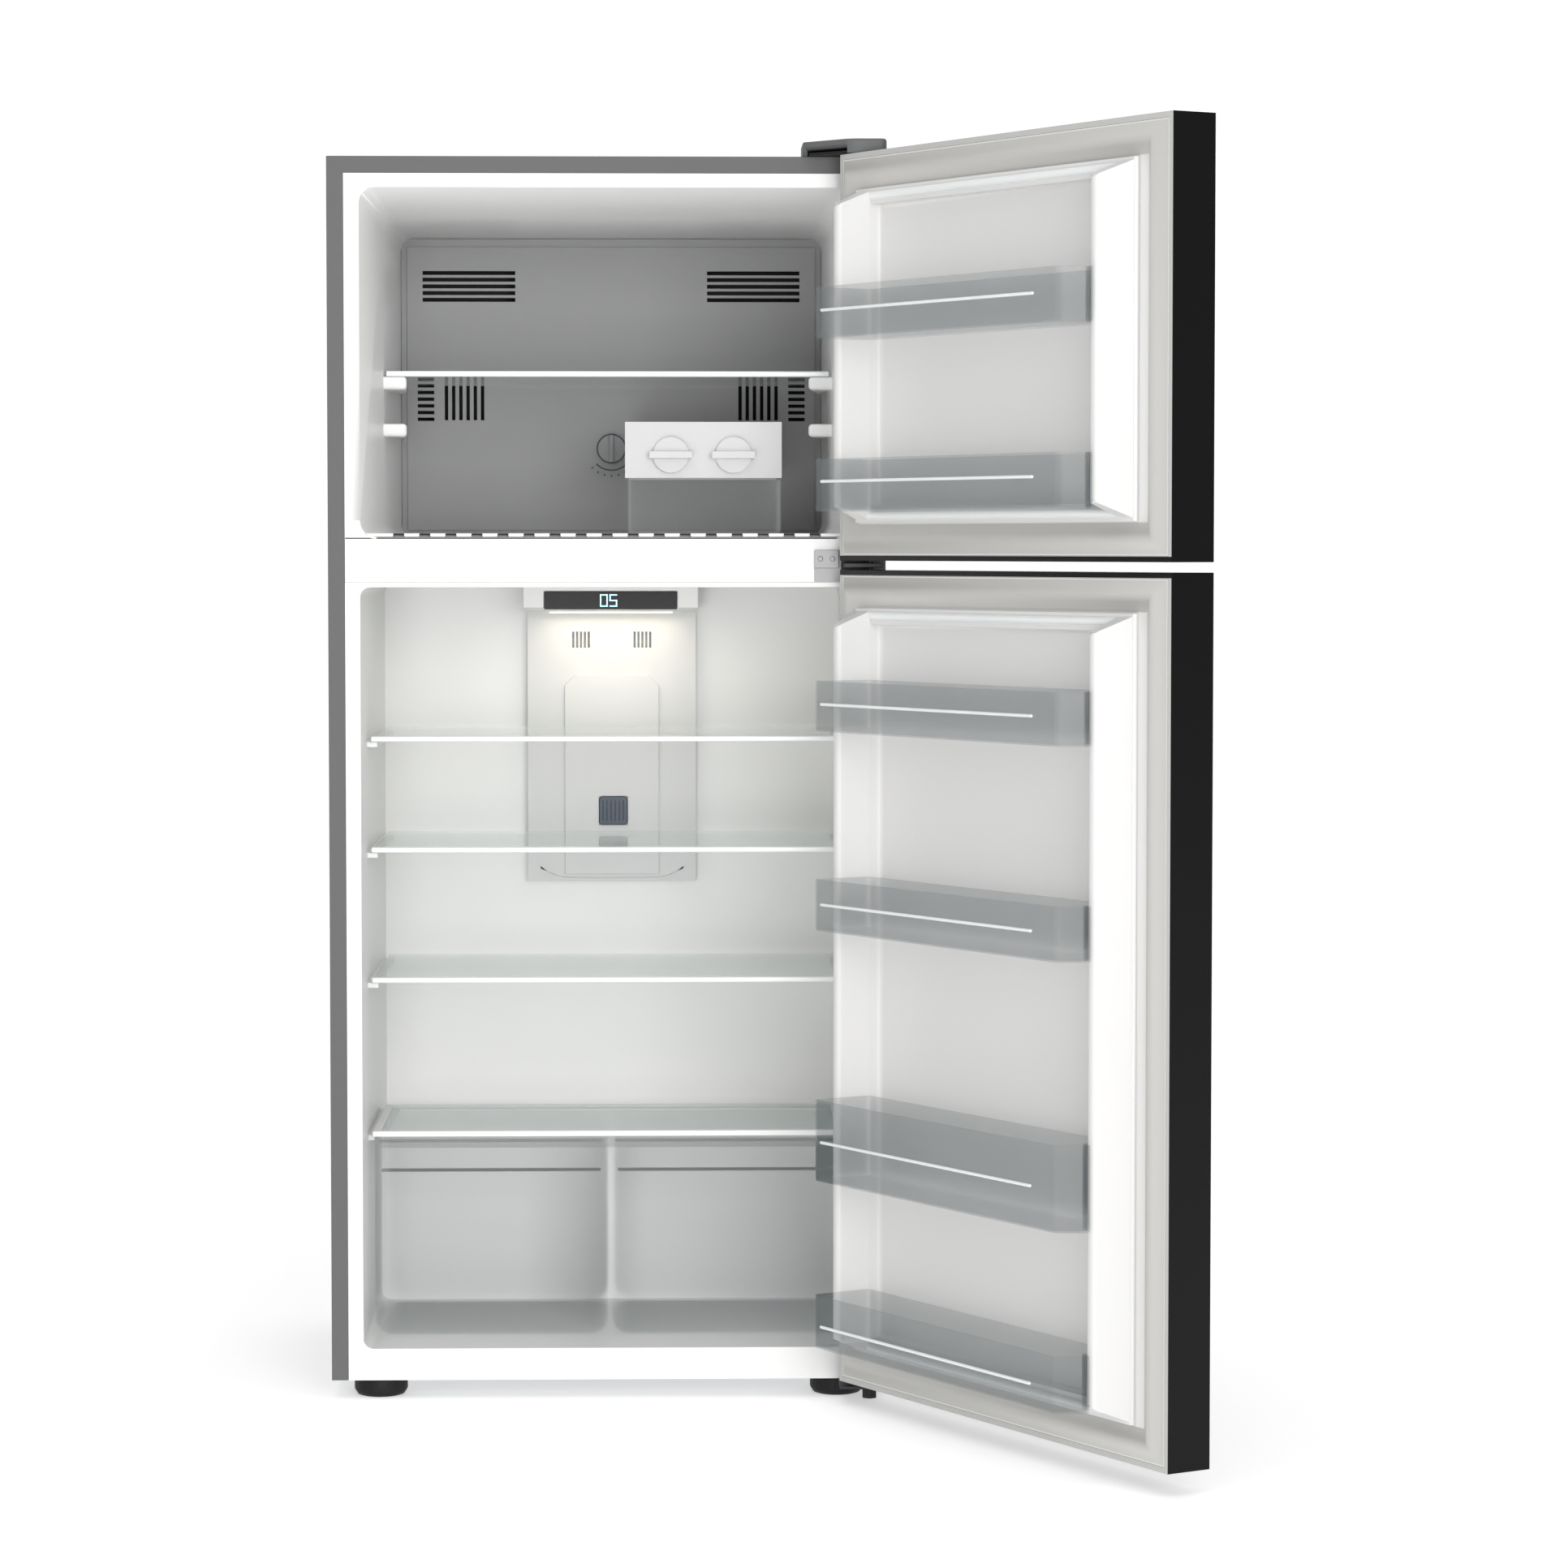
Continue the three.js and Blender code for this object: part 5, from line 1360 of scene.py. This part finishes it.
@dataclass
class Studio:
    """A pale floor that curves up behind, soft lights and the camera."""

    eye: Vector = field(default_factory=lambda: Vector((-0.1096, -6.5052, 1.2014)))
    turn_right: float = 1.464
    tip_down: float = 2.93
    lens: float = 106.95
    floor_reach: float = 14.0
    sweep_radius: float = 3.0
    back_wall: float = 11.0
    wall_height: float = 14.0
    floor_glow: float = 0.45
    world_strength: float = 0.42
    key_power: float = 150
    low_power: float = 60
    top_power: float = 40
    lamp_power: float = 0.2
    lamp_colour: Colour = (1.0, 0.92, 0.78)

    def build(self) -> None:
        """Sets the floor, the light and the camera."""
        self.floor()
        self.lights()
        self.camera()

    def floor(self) -> None:
        """A sweep: floor, quarter round and wall in one sheet."""
        shape = Shape()
        bm = shape.bm
        arc = 16
        start = self.back_wall - self.sweep_radius
        outline = [(-self.floor_reach, 0.0)]
        for index in range(arc + 1):
            angle = math.pi / 2 * index / arc
            rise = self.sweep_radius * (1 - math.cos(angle))
            outline.append((start + self.sweep_radius * math.sin(angle), rise))
        outline.append((self.back_wall, self.wall_height))
        _, edges = shape.chain((-self.floor_reach, y, z) for y, z in outline)
        pulled = bmesh.ops.extrude_edge_only(bm, edges=edges)
        bmesh.ops.translate(bm, verts=new_verts(pulled), vec=(2 * self.floor_reach, 0, 0))
        mesh = bpy.data.meshes.new("floor")
        bm.to_mesh(mesh)
        bm.free()
        for polygon in mesh.polygons:
            polygon.use_smooth = True
        material = bpy.data.materials.new("pale_floor")
        material.use_nodes = True
        shader = material.node_tree.nodes["Principled BSDF"]
        shader.inputs["Base Color"].default_value = (0.9, 0.9, 0.9, 1)
        shader.inputs["Roughness"].default_value = 0.7
        shader.inputs["Emission Color"].default_value = (1, 1, 1, 1)
        shader.inputs["Emission Strength"].default_value = self.floor_glow
        mesh.materials.append(material)
        made = bpy.data.objects.new("floor", mesh)
        bpy.context.scene.collection.objects.link(made)

    def lights(self) -> None:
        """Large soft lights in front and above, a lamp in the fresh food space, and a pale world."""
        middle = CABINET.translation
        aim = Vector((middle.x, 0.2, 0.95))
        self.panel("key", Vector((1.3, -6.4, 1.9)), aim, 2.4, self.key_power)
        low_aim = Vector((0, 0.2, 0.3))
        self.panel("low_front", Vector((-0.6, -6.0, 0.45)), low_aim, 1.2, self.low_power)
        self.panel("top", Vector((0.0, -1.5, 4.4)), Vector((0, 0, 1)), 3.5, self.top_power)
        low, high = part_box("lamp_cover")
        lamp = (low + high) / 2 - Vector((0, 0.05, 0.02))
        down = lamp - Vector((0, -0.08, 1))
        self.panel("inside_lamp", lamp, down, 0.2, self.lamp_power, self.lamp_colour)
        world = bpy.data.worlds.new("studio")
        world.use_nodes = True
        sky = world.node_tree.nodes["Background"]
        sky.inputs["Color"].default_value = (1, 1, 1, 1)
        sky.inputs["Strength"].default_value = self.world_strength
        bpy.context.scene.world = world
        bpy.context.scene.view_settings.view_transform = "Standard"

    def panel(
        self, name: str, place: Vector, aim: Vector, width: float, power: float,
        colour: Colour = (1.0, 1.0, 1.0),
    ) -> None:
        """One square light.

        Args:
            name: its name.
            place: where it hangs.
            aim: what it points at.
            width: the length of its sides.
            power: its power in watts.
            colour: its light's colour.
        """
        data = bpy.data.lights.new(name, "AREA")
        data.size = width
        data.energy = power
        data.color = colour
        light = bpy.data.objects.new(name, data)
        light.location = place
        light.rotation_euler = (aim - place).to_track_quat("-Z", "Y").to_euler()
        bpy.context.scene.collection.objects.link(light)

    def camera(self) -> None:
        """The camera: level with the freezer, a little left of the middle."""
        data = bpy.data.cameras.new("camera")
        data.sensor_width = 36.0
        data.lens = self.lens
        data.clip_end = 60.0
        camera = bpy.data.objects.new("camera", data)
        camera.location = self.eye
        camera.rotation_euler = (
            math.radians(90 - self.tip_down), 0.0, -math.radians(self.turn_right)
        )
        bpy.context.scene.collection.objects.link(camera)
        bpy.context.scene.camera = camera


def main() -> None:
    """Builds the refrigerator, sub-assembly by sub-assembly, and its studio."""
    logging.basicConfig(level=logging.INFO, format="%(message)s")
    shop = Workshop()
    upper = [Bin("upper_door_bin_1", 1.520), Bin("upper_door_bin_2", 1.2885)]
    lower = [
        Bin("lower_door_bin_1", 0.9855), Bin("lower_door_bin_2", 0.712),
        Bin("lower_door_bin_3", 0.386), Bin("lower_door_bin_4", 0.132),
    ]
    assemblies = [
        Body(shop), Footing(shop), FreezerLiner(shop), FreshFoodLiner(shop), FreezerFittings(shop),
        Shelves(shop), Crispers(shop), AirDuct(shop), Hinges(shop),
        Door(shop, "upper", upper, False), Door(shop, "lower", lower, True), Studio(),
    ]
    for assembly in assemblies:
        assembly.build()


if __name__ == "__main__":
    main()
